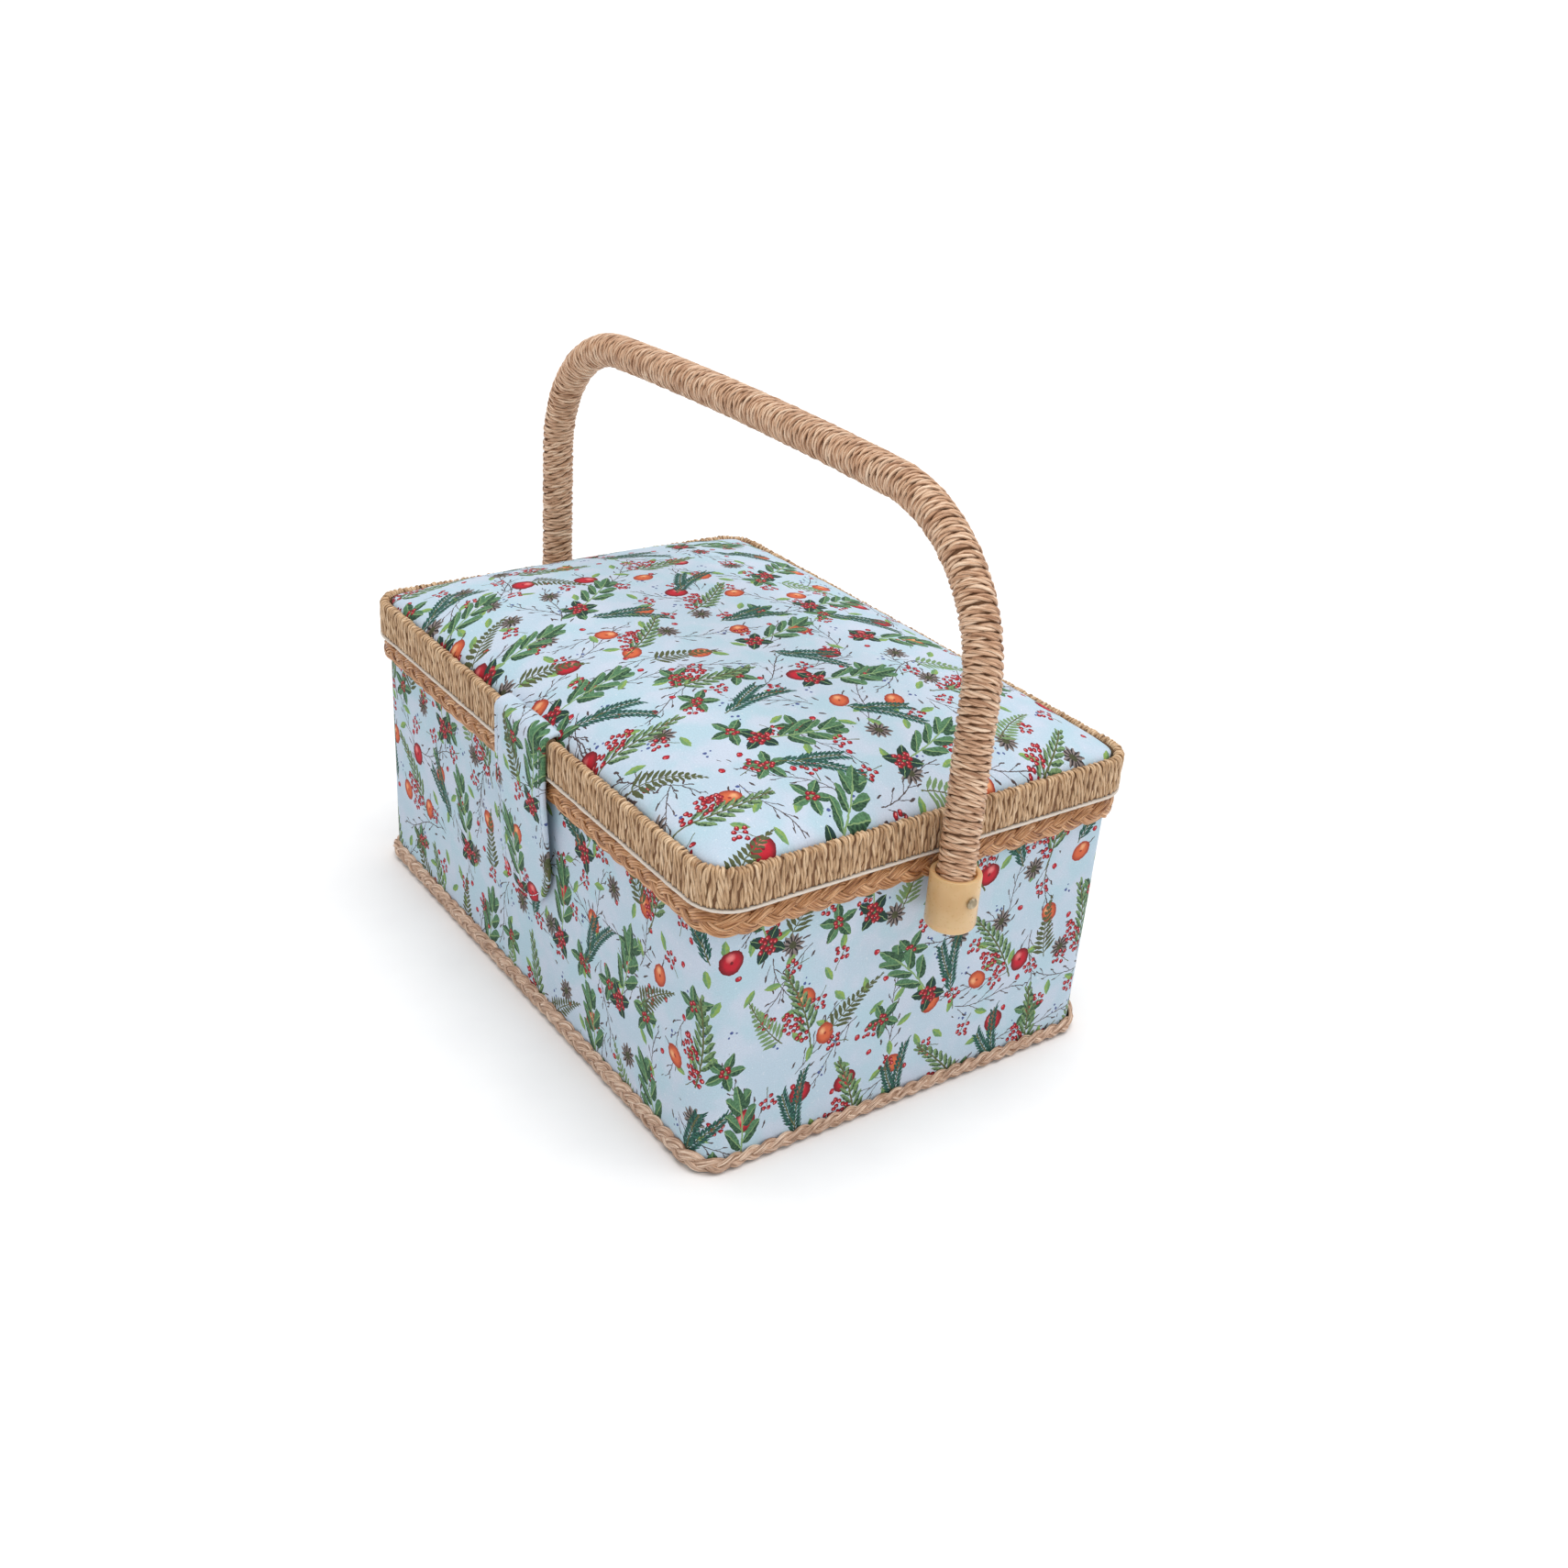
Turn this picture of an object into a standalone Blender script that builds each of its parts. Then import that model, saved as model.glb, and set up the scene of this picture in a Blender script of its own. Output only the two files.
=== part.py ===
"""Sewing basket: a fabric-covered box with a padded hinged lid, straw braids and a wound bail handle.

X runs along the long side, -Y is the front with the closure tab, +Z is up.
The origin is the middle of the underside. All lengths are in metres.
"""
import math

import bpy
from mathutils import Matrix, Vector

# Driving dimensions
WALL_LENGTH = 0.262
WALL_WIDTH = 0.183
CORNER_RADIUS = 0.011
BODY_HEIGHT = 0.109
GAP = 0.0003
OVERRUN = 0.004
FABRIC_THICKNESS = 0.0006
BOARD_THICKNESS = 0.0022
BASE_BOARD_THICKNESS = 0.0025
CORNER_STEPS = 5
SHARP_DEGREES = 40

# Straw braids round the foot and the mouth of the box
BASE_BRAID_HEIGHT = 0.0085
BASE_BRAID_DEPTH = 0.0023
TOP_BRAID_HEIGHT = 0.011
TOP_BRAID_DEPTH = 0.0026
BRAID_SHOULDER_SHARE = 0.28

# Lid
EDGING_HEIGHT = 0.0012
EDGING_OFFSET = 0.0035
EDGING_WIDTH = 0.005
RIM_OFFSET = 0.004
RIM_HEIGHT = 0.0147
RIM_WRAP_DEPTH = 0.0019
RIM_WRAP_WIDTH = 0.0044
RIM_WRAP_COVER = 0.002
RIM_ROUNDING = 0.0017
RIM_RIBS = 74
RIM_RIB_DEPTH = 0.0004
LID_BOARD_THICKNESS = 0.002
CROWN_HEIGHT = 0.0185
CROWN_EDGE_DROP = 0.0008
CROWN_POWER = 3.6
CROWN_FULLNESS = 0.7
CROWN_LOOPS = 8
CROWN_SPANS = (4, 3)
CROWN_FIRST_SHARE = 0.1
COVER_THICKNESS = 0.0009
PAD_LOOPS = 5
POCKET_LENGTH = 0.2
POCKET_WIDTH = 0.09
POCKET_THICKNESS = 0.0022

# Closure tab
TAB_CENTRE = 0.0074
TAB_WIDTH = 0.0384
TAB_THICKNESS = 0.0022
TAB_LENGTH = 0.0789
TAB_LEFT_CORNER = 0.013
TAB_RIGHT_CORNER = 0.024
TAB_CORNER_STEPS = 7
TAB_ROOT_THICKNESS = 0.0022
MAGNET_RADIUS = 0.007
MAGNET_THICKNESS = 0.0009
MAGNET_DROP = 0.058
KEEPER_THICKNESS = 0.001

# Handle
SOCKET_HEADROOM = 0.003
HANDLE_HEIGHT = 0.132
HANDLE_BOW = 0.0017
BEND_RADIUS = 0.0555
WRAP_RADIUS = 0.007
CORE_RADIUS = 0.0048
WRAP_RIBS = 84
WRAP_RIB_DEPTH = 0.00045
BORE_STEPS_IN_BEND = 8
BORE_STEPS_IN_BEAM = 8
HANDLE_SIDES = 10
SOCKET_WALL = 0.00195
SOCKET_ABOVE_PIVOT = 0.008
SOCKET_BELOW_PIVOT = 0.013
SOCKET_FLOOR = 0.002
SOCKET_BEVEL = 0.0009
WRAP_INSERTION = 0.0055
ROUND_SIDES = 24

# Pivot screws
SCREW_RADIUS = 0.0011
SCREW_HEAD_RADIUS = 0.0021
SCREW_HEAD_HEIGHT = 0.0012
SCREW_DOME_SHARES = ((1, 0.33), (0.72, 0.85), (0.3, 1))
WASHER_RADIUS = 0.0036
WASHER_THICKNESS = 0.0008
NUT_RADIUS = 0.0032
NUT_THICKNESS = 0.0026
NUT_SIDES = 6
SMALL_SIDES = 12

# Hinges at the back
HINGE_SPACING = 0.15
HINGE_LENGTH = 0.026
KNUCKLE_RADIUS = 0.00135
PIN_RADIUS = 0.0006
LEAF_THICKNESS = 0.0008
BODY_LEAF_HEIGHT = 0.0098
LID_LEAF_HEIGHT = 0.0115
KNUCKLE_SHARE = 0.36
LEAF_SCREW_RADIUS = 0.0008
LEAF_SCREW_HEAD_RADIUS = 0.0016
LEAF_SCREW_HEAD_HEIGHT = 0.0006
LEAF_SCREW_DOME_SHARE = 0.6
LEAF_SCREW_SIDES = 8
LEAF_SCREW_LENGTH = 0.0048
LEAF_SCREW_PLACE_SHARE = 0.3

# Inside
TRAY_PLAY = 0.0012
TRAY_END_PLAY = 0.0045
TRAY_HEADROOM = 0.0009
TRAY_DEPTH = 0.03
TRAY_WALL = 0.0016
TRAY_CORNER = 0.007
TRAY_LONG_CELL_SHARE = 0.36
TRAY_BACK_CELL_SHARES = (0.3, 0.4, 0.3)
TRAY_FRONT_CELL_SHARES = (0.62, 0.38)
LEDGE_DEPTH = 0.009
LEDGE_HEIGHT = 0.008
LEDGE_LENGTH_SHARE = 0.8
PINCUSHION_HEIGHT = 0.02
PINCUSHION_CORNER = 0.012
PINCUSHION_MARGIN = 0.008
PINCUSHION_SHARES = ((0.86, 0), (1, 0.3), (0.97, 0.6), (0.8, 0.86), (0.45, 1))

# Places that follow from the driving dimensions
HALF_LENGTH = WALL_LENGTH / 2
HALF_WIDTH = WALL_WIDTH / 2
BOARD_OFFSET = -FABRIC_THICKNESS - GAP
LINING_OFFSET = BOARD_OFFSET - BOARD_THICKNESS - GAP
INSIDE_OFFSET = LINING_OFFSET - FABRIC_THICKNESS
FLOOR_TOP = BASE_BOARD_THICKNESS + GAP + FABRIC_THICKNESS
TOP_BRAID_OFFSET = GAP + TOP_BRAID_DEPTH
BASE_BRAID_OFFSET = GAP + BASE_BRAID_DEPTH
EDGING_BOTTOM = BODY_HEIGHT + GAP
RIM_BOTTOM = EDGING_BOTTOM + EDGING_HEIGHT + GAP
RIM_TOP = RIM_BOTTOM + RIM_HEIGHT
RIM_CORE_OFFSET = RIM_OFFSET - RIM_WRAP_DEPTH - GAP
CROWN_OFFSET = RIM_OFFSET - RIM_WRAP_WIDTH - GAP
CROWN_EDGE = RIM_TOP - CROWN_EDGE_DROP
RIM_CORE_TOP = RIM_TOP - RIM_WRAP_COVER - GAP
LID_BOARD_BOTTOM = RIM_BOTTOM
LID_BOARD_TOP = LID_BOARD_BOTTOM + LID_BOARD_THICKNESS
LID_LINING_TOP = LID_BOARD_BOTTOM - GAP
SOCKET_RADIUS = WRAP_RADIUS + GAP + SOCKET_WALL
LEG_PLACE = HALF_LENGTH + TOP_BRAID_OFFSET + GAP + SOCKET_RADIUS
PIVOT_HEIGHT = BODY_HEIGHT - SOCKET_HEADROOM - SOCKET_ABOVE_PIVOT
SCREW_HEAD_START = LEG_PLACE + SOCKET_RADIUS + GAP
WASHER_START = HALF_LENGTH + INSIDE_OFFSET - GAP
NUT_START = WASHER_START - WASHER_THICKNESS - GAP
TRAY_TOP = PIVOT_HEIGHT - WASHER_RADIUS - TRAY_HEADROOM
HINGE_Y = HALF_WIDTH + RIM_OFFSET + GAP + KNUCKLE_RADIUS
HINGE_Z = BODY_HEIGHT + GAP + EDGING_HEIGHT / 2
TAB_FACE = HALF_WIDTH + RIM_OFFSET + GAP
TAB_AXIS_Y = -TAB_FACE - TAB_THICKNESS / 2
TAB_AXIS_Z = RIM_TOP + GAP + TAB_ROOT_THICKNESS / 2
TAB_STRAIGHT = TAB_AXIS_Z - BODY_HEIGHT + TOP_BRAID_HEIGHT / 2
TAB_LEAN = math.asin((TAB_FACE - HALF_WIDTH - GAP) / (TAB_LENGTH - TAB_STRAIGHT))


def material(name, colour, roughness, metallic=0.0):
    made = bpy.data.materials.new(name)
    made.use_nodes = True
    shader = made.node_tree.nodes["Principled BSDF"]
    shader.inputs["Base Color"].default_value = (*colour, 1.0)
    shader.inputs["Roughness"].default_value = roughness
    shader.inputs["Metallic"].default_value = metallic
    return made


def outline(offset, spans=(1, 1)):
    """The box's rounded rectangle, moved outward by offset, anticlockwise seen from above."""
    half_x = HALF_LENGTH + offset
    half_y = HALF_WIDTH + offset
    return rounded_rectangle(half_x, half_y, CORNER_RADIUS + offset, CORNER_STEPS, spans)


def rounded_rectangle(half_x, half_y, radius, steps, spans=(1, 1)):
    """Spans says in how many parts the straight runs along X and along Y are divided."""
    corners = ((1, 1, 0), (-1, 1, 1), (-1, -1, 2), (1, -1, 3))
    points = []
    for side_x, side_y, quarter in corners:
        middle = Vector((side_x * (half_x - radius), side_y * (half_y - radius)))
        for step in range(steps + 1):
            angle = math.pi / 2 * (quarter + step / steps)
            points.append(middle + radius * Vector((math.cos(angle), math.sin(angle))))
        forward = Vector((-math.sin(angle), math.cos(angle)))
        run = 2 * ((half_x if quarter % 2 == 0 else half_y) - radius)
        parts = spans[quarter % 2]
        last = points[-1]
        points += [last + forward * run * part / parts for part in range(1, parts)]
    return points


def raised(points, height):
    return [Vector((point.x, point.y, height)) for point in points]


def loft(name, loops, finish, ring=False, smooth=False, parent=None):
    """Bridges loops of equal length. A ring closes on its first loop, other shapes are capped."""
    count = len(loops[0])
    verts = [point for loop in loops for point in loop]
    faces = []
    spans = len(loops) if ring else len(loops) - 1
    for span in range(spans):
        low = span * count
        high = (span + 1) % len(loops) * count
        for index in range(count):
            after = (index + 1) % count
            faces.append((low + index, low + after, high + after, high + index))
    if not ring:
        faces.append(tuple(reversed(range(count))))
        faces.append(tuple(range((len(loops) - 1) * count, len(loops) * count)))
    return solid(name, verts, faces, finish, smooth, parent)


def solid(name, verts, faces, finish, smooth=False, parent=None):
    mesh = bpy.data.meshes.new(name)
    mesh.from_pydata([tuple(vert) for vert in verts], [], faces)
    mesh.validate()
    mesh.materials.append(finish)
    if smooth:
        mesh.shade_smooth()
        mesh.set_sharp_from_angle(angle=math.radians(SHARP_DEGREES))
    made = bpy.data.objects.new(name, mesh)
    bpy.context.scene.collection.objects.link(made)
    if parent is not None:
        made.parent = parent
        made.matrix_parent_inverse = Matrix.Translation(-parent.location)
    return made


def pivot(name, place):
    """An empty on a joint's axis, which carries the pieces that turn about it."""
    made = bpy.data.objects.new(name, None)
    made.location = place
    bpy.context.scene.collection.objects.link(made)
    return made


def band(name, profile, finish, parent=None):
    """A closed ring round the box. The profile's points are (offset, height), up the outside first."""
    loops = [raised(outline(offset), height) for offset, height in profile]
    return loft(name, loops, finish, ring=True, smooth=True, parent=parent)


def plate(name, offset, bottom, top, finish, parent=None):
    loops = [raised(outline(offset), bottom), raised(outline(offset), top)]
    return loft(name, loops, finish, smooth=True, parent=parent)


def block(name, low, high, finish, parent=None):
    middle = (Vector(low) + Vector(high)) / 2
    size = Vector(high) - Vector(low)
    corners = [(x, y, z) for z in (-0.5, 0.5) for y in (-0.5, 0.5) for x in (-0.5, 0.5)]
    verts = [middle + Vector((x * size.x, y * size.y, z * size.z)) for x, y, z in corners]
    faces = [(0, 2, 3, 1), (4, 5, 7, 6), (0, 1, 5, 4), (2, 6, 7, 3), (0, 4, 6, 2), (1, 3, 7, 5)]
    return solid(name, verts, faces, finish, parent=parent)


def turned(name, profile, origin, axis, finish, sides=ROUND_SIDES, parent=None, ring=False):
    """A solid turned about axis. The profile's points are (radius, distance along the axis).

    A ring's profile closes on itself round a hole.
    """
    turn = Vector((0, 0, 1)).rotation_difference(Vector(axis))
    loops = []
    for radius, along in profile:
        loop = []
        for side in range(sides):
            angle = 2 * math.pi * (side + 0.5) / sides
            spot = Vector((radius * math.cos(angle), radius * math.sin(angle), along))
            loop.append(Vector(origin) + turn @ spot)
        loops.append(loop)
    return loft(name, loops, finish, ring=ring, smooth=True, parent=parent)


def hide_cutter(cutter):
    cutter.hide_render = True
    cutter.display_type = "WIRE"


def cut(target, cutter):
    hide_cutter(cutter)
    modifier = target.modifiers.new("Cut " + cutter.name, "BOOLEAN")
    modifier.operation = "DIFFERENCE"
    modifier.solver = "EXACT"
    modifier.object = cutter


def join(target, addition):
    hide_cutter(addition)
    modifier = target.modifiers.new("Join " + addition.name, "BOOLEAN")
    modifier.operation = "UNION"
    modifier.solver = "EXACT"
    modifier.object = addition


def drill(targets, name, radius, start, end, sides=SMALL_SIDES):
    """Cuts one round hole from start to end through each target."""
    along = Vector(end) - Vector(start)
    profile = ((radius, 0), (radius, along.length))
    cutter = turned(name, profile, start, along.normalized(), targets[0].data.materials[0], sides)
    for target in targets:
        cut(target, cutter)


def braid_profile(depth, bottom, height):
    shoulder = BRAID_SHOULDER_SHARE * height
    inset = BRAID_SHOULDER_SHARE * depth
    outer = GAP + depth
    return (
        (GAP, bottom),
        (outer - inset, bottom),
        (outer, bottom + shoulder),
        (outer, bottom + height - shoulder),
        (outer - inset, bottom + height),
        (GAP, bottom + height),
    )


def crown_point(point, edge, height, half_x, half_y):
    across = max(0.0, 1 - abs(point.x / half_x) ** CROWN_POWER)
    along = max(0.0, 1 - abs(point.y / half_y) ** CROWN_POWER)
    return Vector((point.x, point.y, edge + height * (across * along) ** CROWN_FULLNESS))


def crown_loops(offset, edge, height, count):
    """Loops of a padded dome from its edge to a small loop in its middle."""
    half_x = HALF_LENGTH + offset
    half_y = HALF_WIDTH + offset
    base = outline(offset, CROWN_SPANS)
    loops = []
    for index in range(count):
        share = math.cos(math.pi / 2 * (index + CROWN_FIRST_SHARE) / count)
        loops.append([crown_point(share * point, edge, height, half_x, half_y) for point in base])
    return loops


def make_body(fabric, lining, board, straw, steel):
    base_board = plate("base_board", BOARD_OFFSET, 0, BASE_BOARD_THICKNESS, board)
    walls_bottom = BASE_BOARD_THICKNESS + GAP
    walls = band(
        "body_walls",
        (
            (BOARD_OFFSET, walls_bottom),
            (BOARD_OFFSET, BODY_HEIGHT),
            (BOARD_OFFSET - BOARD_THICKNESS, BODY_HEIGHT),
            (BOARD_OFFSET - BOARD_THICKNESS, walls_bottom),
        ),
        board,
    )
    cover = band(
        "wall_fabric",
        (
            (0, GAP),
            (0, BODY_HEIGHT),
            (-FABRIC_THICKNESS, BODY_HEIGHT),
            (-FABRIC_THICKNESS, GAP),
        ),
        fabric,
    )
    inside = loft(
        "body_lining",
        [
            raised(outline(LINING_OFFSET), BASE_BOARD_THICKNESS + GAP),
            raised(outline(LINING_OFFSET), BODY_HEIGHT),
            raised(outline(INSIDE_OFFSET), BODY_HEIGHT),
            raised(outline(INSIDE_OFFSET), FLOOR_TOP),
        ],
        lining,
        smooth=True,
    )
    band("base_braid", braid_profile(BASE_BRAID_DEPTH, GAP, BASE_BRAID_HEIGHT), straw)
    top_braid_bottom = BODY_HEIGHT - TOP_BRAID_HEIGHT
    top_braid = band("top_braid", braid_profile(TOP_BRAID_DEPTH, top_braid_bottom, TOP_BRAID_HEIGHT), straw)

    keeper_height = tab_point(MAGNET_DROP, 0).z
    keeper_face = -HALF_WIDTH - BOARD_OFFSET
    drill(
        [walls],
        "keeper_pocket",
        MAGNET_RADIUS + GAP,
        (TAB_CENTRE, keeper_face - GAP / 2, keeper_height),
        (TAB_CENTRE, keeper_face + KEEPER_THICKNESS + GAP, keeper_height),
        ROUND_SIDES,
    )
    turned(
        "keeper_plate",
        ((MAGNET_RADIUS, 0), (MAGNET_RADIUS, KEEPER_THICKNESS)),
        (TAB_CENTRE, keeper_face, keeper_height),
        (0, 1, 0),
        steel,
    )
    return base_board, walls, cover, inside, top_braid


def make_tray(plastic, board, pin_fabric):
    half_x = HALF_LENGTH + INSIDE_OFFSET - TRAY_END_PLAY
    half_y = HALF_WIDTH + INSIDE_OFFSET - TRAY_PLAY
    bottom = TRAY_TOP - TRAY_DEPTH
    outer = rounded_rectangle(half_x, half_y, TRAY_CORNER, CORNER_STEPS)
    tray = loft("tray", [raised(outer, bottom), raised(outer, TRAY_TOP)], plastic, smooth=True)
    front_depth = TRAY_LONG_CELL_SHARE * 2 * half_y
    back_depth = 2 * half_y - front_depth - 3 * TRAY_WALL
    front_start = -half_y + TRAY_WALL
    rows = (
        (front_start, front_depth, TRAY_FRONT_CELL_SHARES),
        (front_start + front_depth + TRAY_WALL, back_depth, TRAY_BACK_CELL_SHARES),
    )
    cells = []
    for row, (start_y, depth, shares) in enumerate(rows):
        room = 2 * half_x - TRAY_WALL * (len(shares) + 1)
        start_x = -half_x + TRAY_WALL
        for column, share in enumerate(shares):
            low = Vector((start_x, start_y, bottom + TRAY_WALL))
            high = Vector((start_x + share * room, start_y + depth, TRAY_TOP + OVERRUN))
            middle = (low + high) / 2
            size = (high - low) / 2
            shape = rounded_rectangle(size.x, size.y, TRAY_CORNER - TRAY_WALL, CORNER_STEPS // 2)
            shape = [point + middle.xy for point in shape]
            cutter = loft(
                f"tray_cell_{row}_{column}", [raised(shape, low.z), raised(shape, high.z)], plastic
            )
            cut(tray, cutter)
            cells.append((low, high))
            start_x = high.x + TRAY_WALL
    ledge_length = LEDGE_LENGTH_SHARE * WALL_WIDTH / 2
    ledge_top = bottom - GAP
    for name, side in (("tray_ledge_left", -1), ("tray_ledge_right", 1)):
        face = side * (HALF_LENGTH + INSIDE_OFFSET - GAP)
        reach = face - side * LEDGE_DEPTH
        low = (min(face, reach), -ledge_length, ledge_top - LEDGE_HEIGHT)
        block(name, low, (max(face, reach), ledge_length, ledge_top), board)
    low, high = cells[-1]
    half = min(high.x - low.x, high.y - low.y) / 2 - PINCUSHION_MARGIN
    middle = ((low + high) / 2).xy
    floor = bottom + TRAY_WALL + GAP
    loops = []
    for share, height_share in PINCUSHION_SHARES:
        shape = rounded_rectangle(half * share, half * share, PINCUSHION_CORNER * share, CORNER_STEPS // 2)
        loops.append(raised([point + middle for point in shape], floor + height_share * PINCUSHION_HEIGHT))
    loft("pincushion", loops, pin_fabric, smooth=True)


def rim_outline(offset, ribbed):
    """The rim's outline in even steps, two to a rib, drawn in at every other point where ribbed."""
    half_x = HALF_LENGTH + offset
    half_y = HALF_WIDTH + offset
    radius = CORNER_RADIUS + offset
    counts = rib_steps()
    points = []
    for quarter, (side_x, side_y) in enumerate(((1, 1), (-1, 1), (-1, -1), (1, -1))):
        middle = Vector((side_x * (half_x - radius), side_y * (half_y - radius)))
        for step in range(counts["corner"]):
            angle = math.pi / 2 * (quarter + step / counts["corner"])
            points.append((middle, Vector((math.cos(angle), math.sin(angle))), radius))
        angle = math.pi / 2 * (quarter + 1)
        normal = Vector((math.cos(angle), math.sin(angle)))
        run = counts["long"] if quarter % 2 == 0 else counts["short"]
        length = 2 * ((half_x if quarter % 2 == 0 else half_y) - radius)
        forward = Vector((-normal.y, normal.x))
        for step in range(run):
            points.append((middle + forward * length * step / run, normal, radius))
    dips = [RIM_RIB_DEPTH * (index % 2) * ribbed for index in range(len(points))]
    return [middle + normal * (reach - dip) for (middle, normal, reach), dip in zip(points, dips)]


def rib_steps():
    """How many even steps each corner, long side and short side of the rim takes."""
    radius = CORNER_RADIUS + RIM_OFFSET
    long_run = WALL_LENGTH - 2 * CORNER_RADIUS
    short_run = WALL_WIDTH - 2 * CORNER_RADIUS
    corner = math.pi / 2 * radius
    step = (long_run + short_run + 2 * corner) / RIM_RIBS
    return {
        "corner": max(4, 2 * round(corner / step)),
        "long": 2 * round(long_run / step),
        "short": 2 * round(short_run / step),
    }


def make_lid(fabric, lining, board, raffia, felt, foam, hinge):
    edging_inner = EDGING_OFFSET - EDGING_WIDTH
    edging = band(
        "lid_edging",
        (
            (EDGING_OFFSET, EDGING_BOTTOM),
            (EDGING_OFFSET, EDGING_BOTTOM + EDGING_HEIGHT),
            (edging_inner, EDGING_BOTTOM + EDGING_HEIGHT),
            (edging_inner, EDGING_BOTTOM),
        ),
        felt,
        hinge,
    )
    core_inner = RIM_CORE_OFFSET - BOARD_THICKNESS + GAP
    core = band(
        "lid_rim_core",
        (
            (RIM_CORE_OFFSET, RIM_BOTTOM),
            (RIM_CORE_OFFSET, RIM_CORE_TOP),
            (core_inner, RIM_CORE_TOP),
            (core_inner, RIM_BOTTOM),
        ),
        board,
        hinge,
    )
    inner = RIM_OFFSET - RIM_WRAP_WIDTH
    profile = (
        (RIM_OFFSET, RIM_BOTTOM, True),
        (RIM_OFFSET, RIM_TOP - RIM_ROUNDING, True),
        (RIM_OFFSET - RIM_ROUNDING, RIM_TOP, False),
        (inner, RIM_TOP - GAP, False),
        (inner, RIM_TOP - RIM_WRAP_COVER, False),
        (RIM_OFFSET - RIM_WRAP_DEPTH, RIM_TOP - RIM_WRAP_COVER, False),
        (RIM_OFFSET - RIM_WRAP_DEPTH, RIM_BOTTOM, False),
    )
    loops = [raised(rim_outline(offset, ribbed), height) for offset, height, ribbed in profile]
    wrap = loft("lid_rim_wrap", loops, raffia, ring=True, smooth=True, parent=hinge)
    board_offset = core_inner - GAP
    plate("lid_board", board_offset, LID_BOARD_BOTTOM, LID_BOARD_TOP, board, hinge)
    lining_offset = edging_inner - GAP
    lining_bottom = LID_LINING_TOP - FABRIC_THICKNESS
    plate("lid_lining", lining_offset, lining_bottom, LID_LINING_TOP, lining, hinge)
    pocket_top = lining_bottom - GAP
    block(
        "lid_pocket",
        (-POCKET_LENGTH / 2, -POCKET_WIDTH / 2, pocket_top - POCKET_THICKNESS),
        (POCKET_LENGTH / 2, POCKET_WIDTH / 2, pocket_top),
        lining,
        hinge,
    )
    cover_inner = CROWN_OFFSET - COVER_THICKNESS
    cover_bottom = LID_BOARD_TOP + GAP
    outer = crown_loops(CROWN_OFFSET, CROWN_EDGE, CROWN_HEIGHT, CROWN_LOOPS)
    under = crown_loops(cover_inner, CROWN_EDGE - COVER_THICKNESS, CROWN_HEIGHT, CROWN_LOOPS)
    skirt_outer = raised(outline(CROWN_OFFSET, CROWN_SPANS), cover_bottom)
    skirt_inner = raised(outline(cover_inner, CROWN_SPANS), cover_bottom)
    loops = list(reversed(under)) + [skirt_inner, skirt_outer] + outer
    loft("lid_cover", loops, fabric, smooth=True, parent=hinge)
    pad_offset = cover_inner - GAP
    pad_edge = CROWN_EDGE - COVER_THICKNESS - 2 * GAP
    pad_top = crown_loops(pad_offset, pad_edge, CROWN_HEIGHT - 2 * GAP, PAD_LOOPS)
    pad_foot = raised(outline(pad_offset, CROWN_SPANS), cover_bottom)
    loft("lid_pad", [pad_foot] + pad_top, foam, smooth=True, parent=hinge)
    return edging, core, wrap


def tab_point(drop, out):
    """A point of the tab's middle line, which leans in below the rim, moved outward at a right angle."""
    lean = TAB_LEAN if drop > TAB_STRAIGHT else TAB_LEAN / 2 if drop == TAB_STRAIGHT else 0
    leaning = max(0, drop - TAB_STRAIGHT)
    y = TAB_AXIS_Y + leaning * math.sin(TAB_LEAN) - out * math.cos(lean)
    z = TAB_AXIS_Z - min(drop, TAB_STRAIGHT) - leaning * math.cos(TAB_LEAN) - out * math.sin(lean)
    return Vector((TAB_CENTRE, y, z))


def corner_inset(drop, radius):
    """How far a rounded lower corner draws the tab's side in at this drop."""
    below = max(0, drop - TAB_LENGTH + radius)
    return radius - math.sqrt(max(0, radius**2 - below**2))


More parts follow.
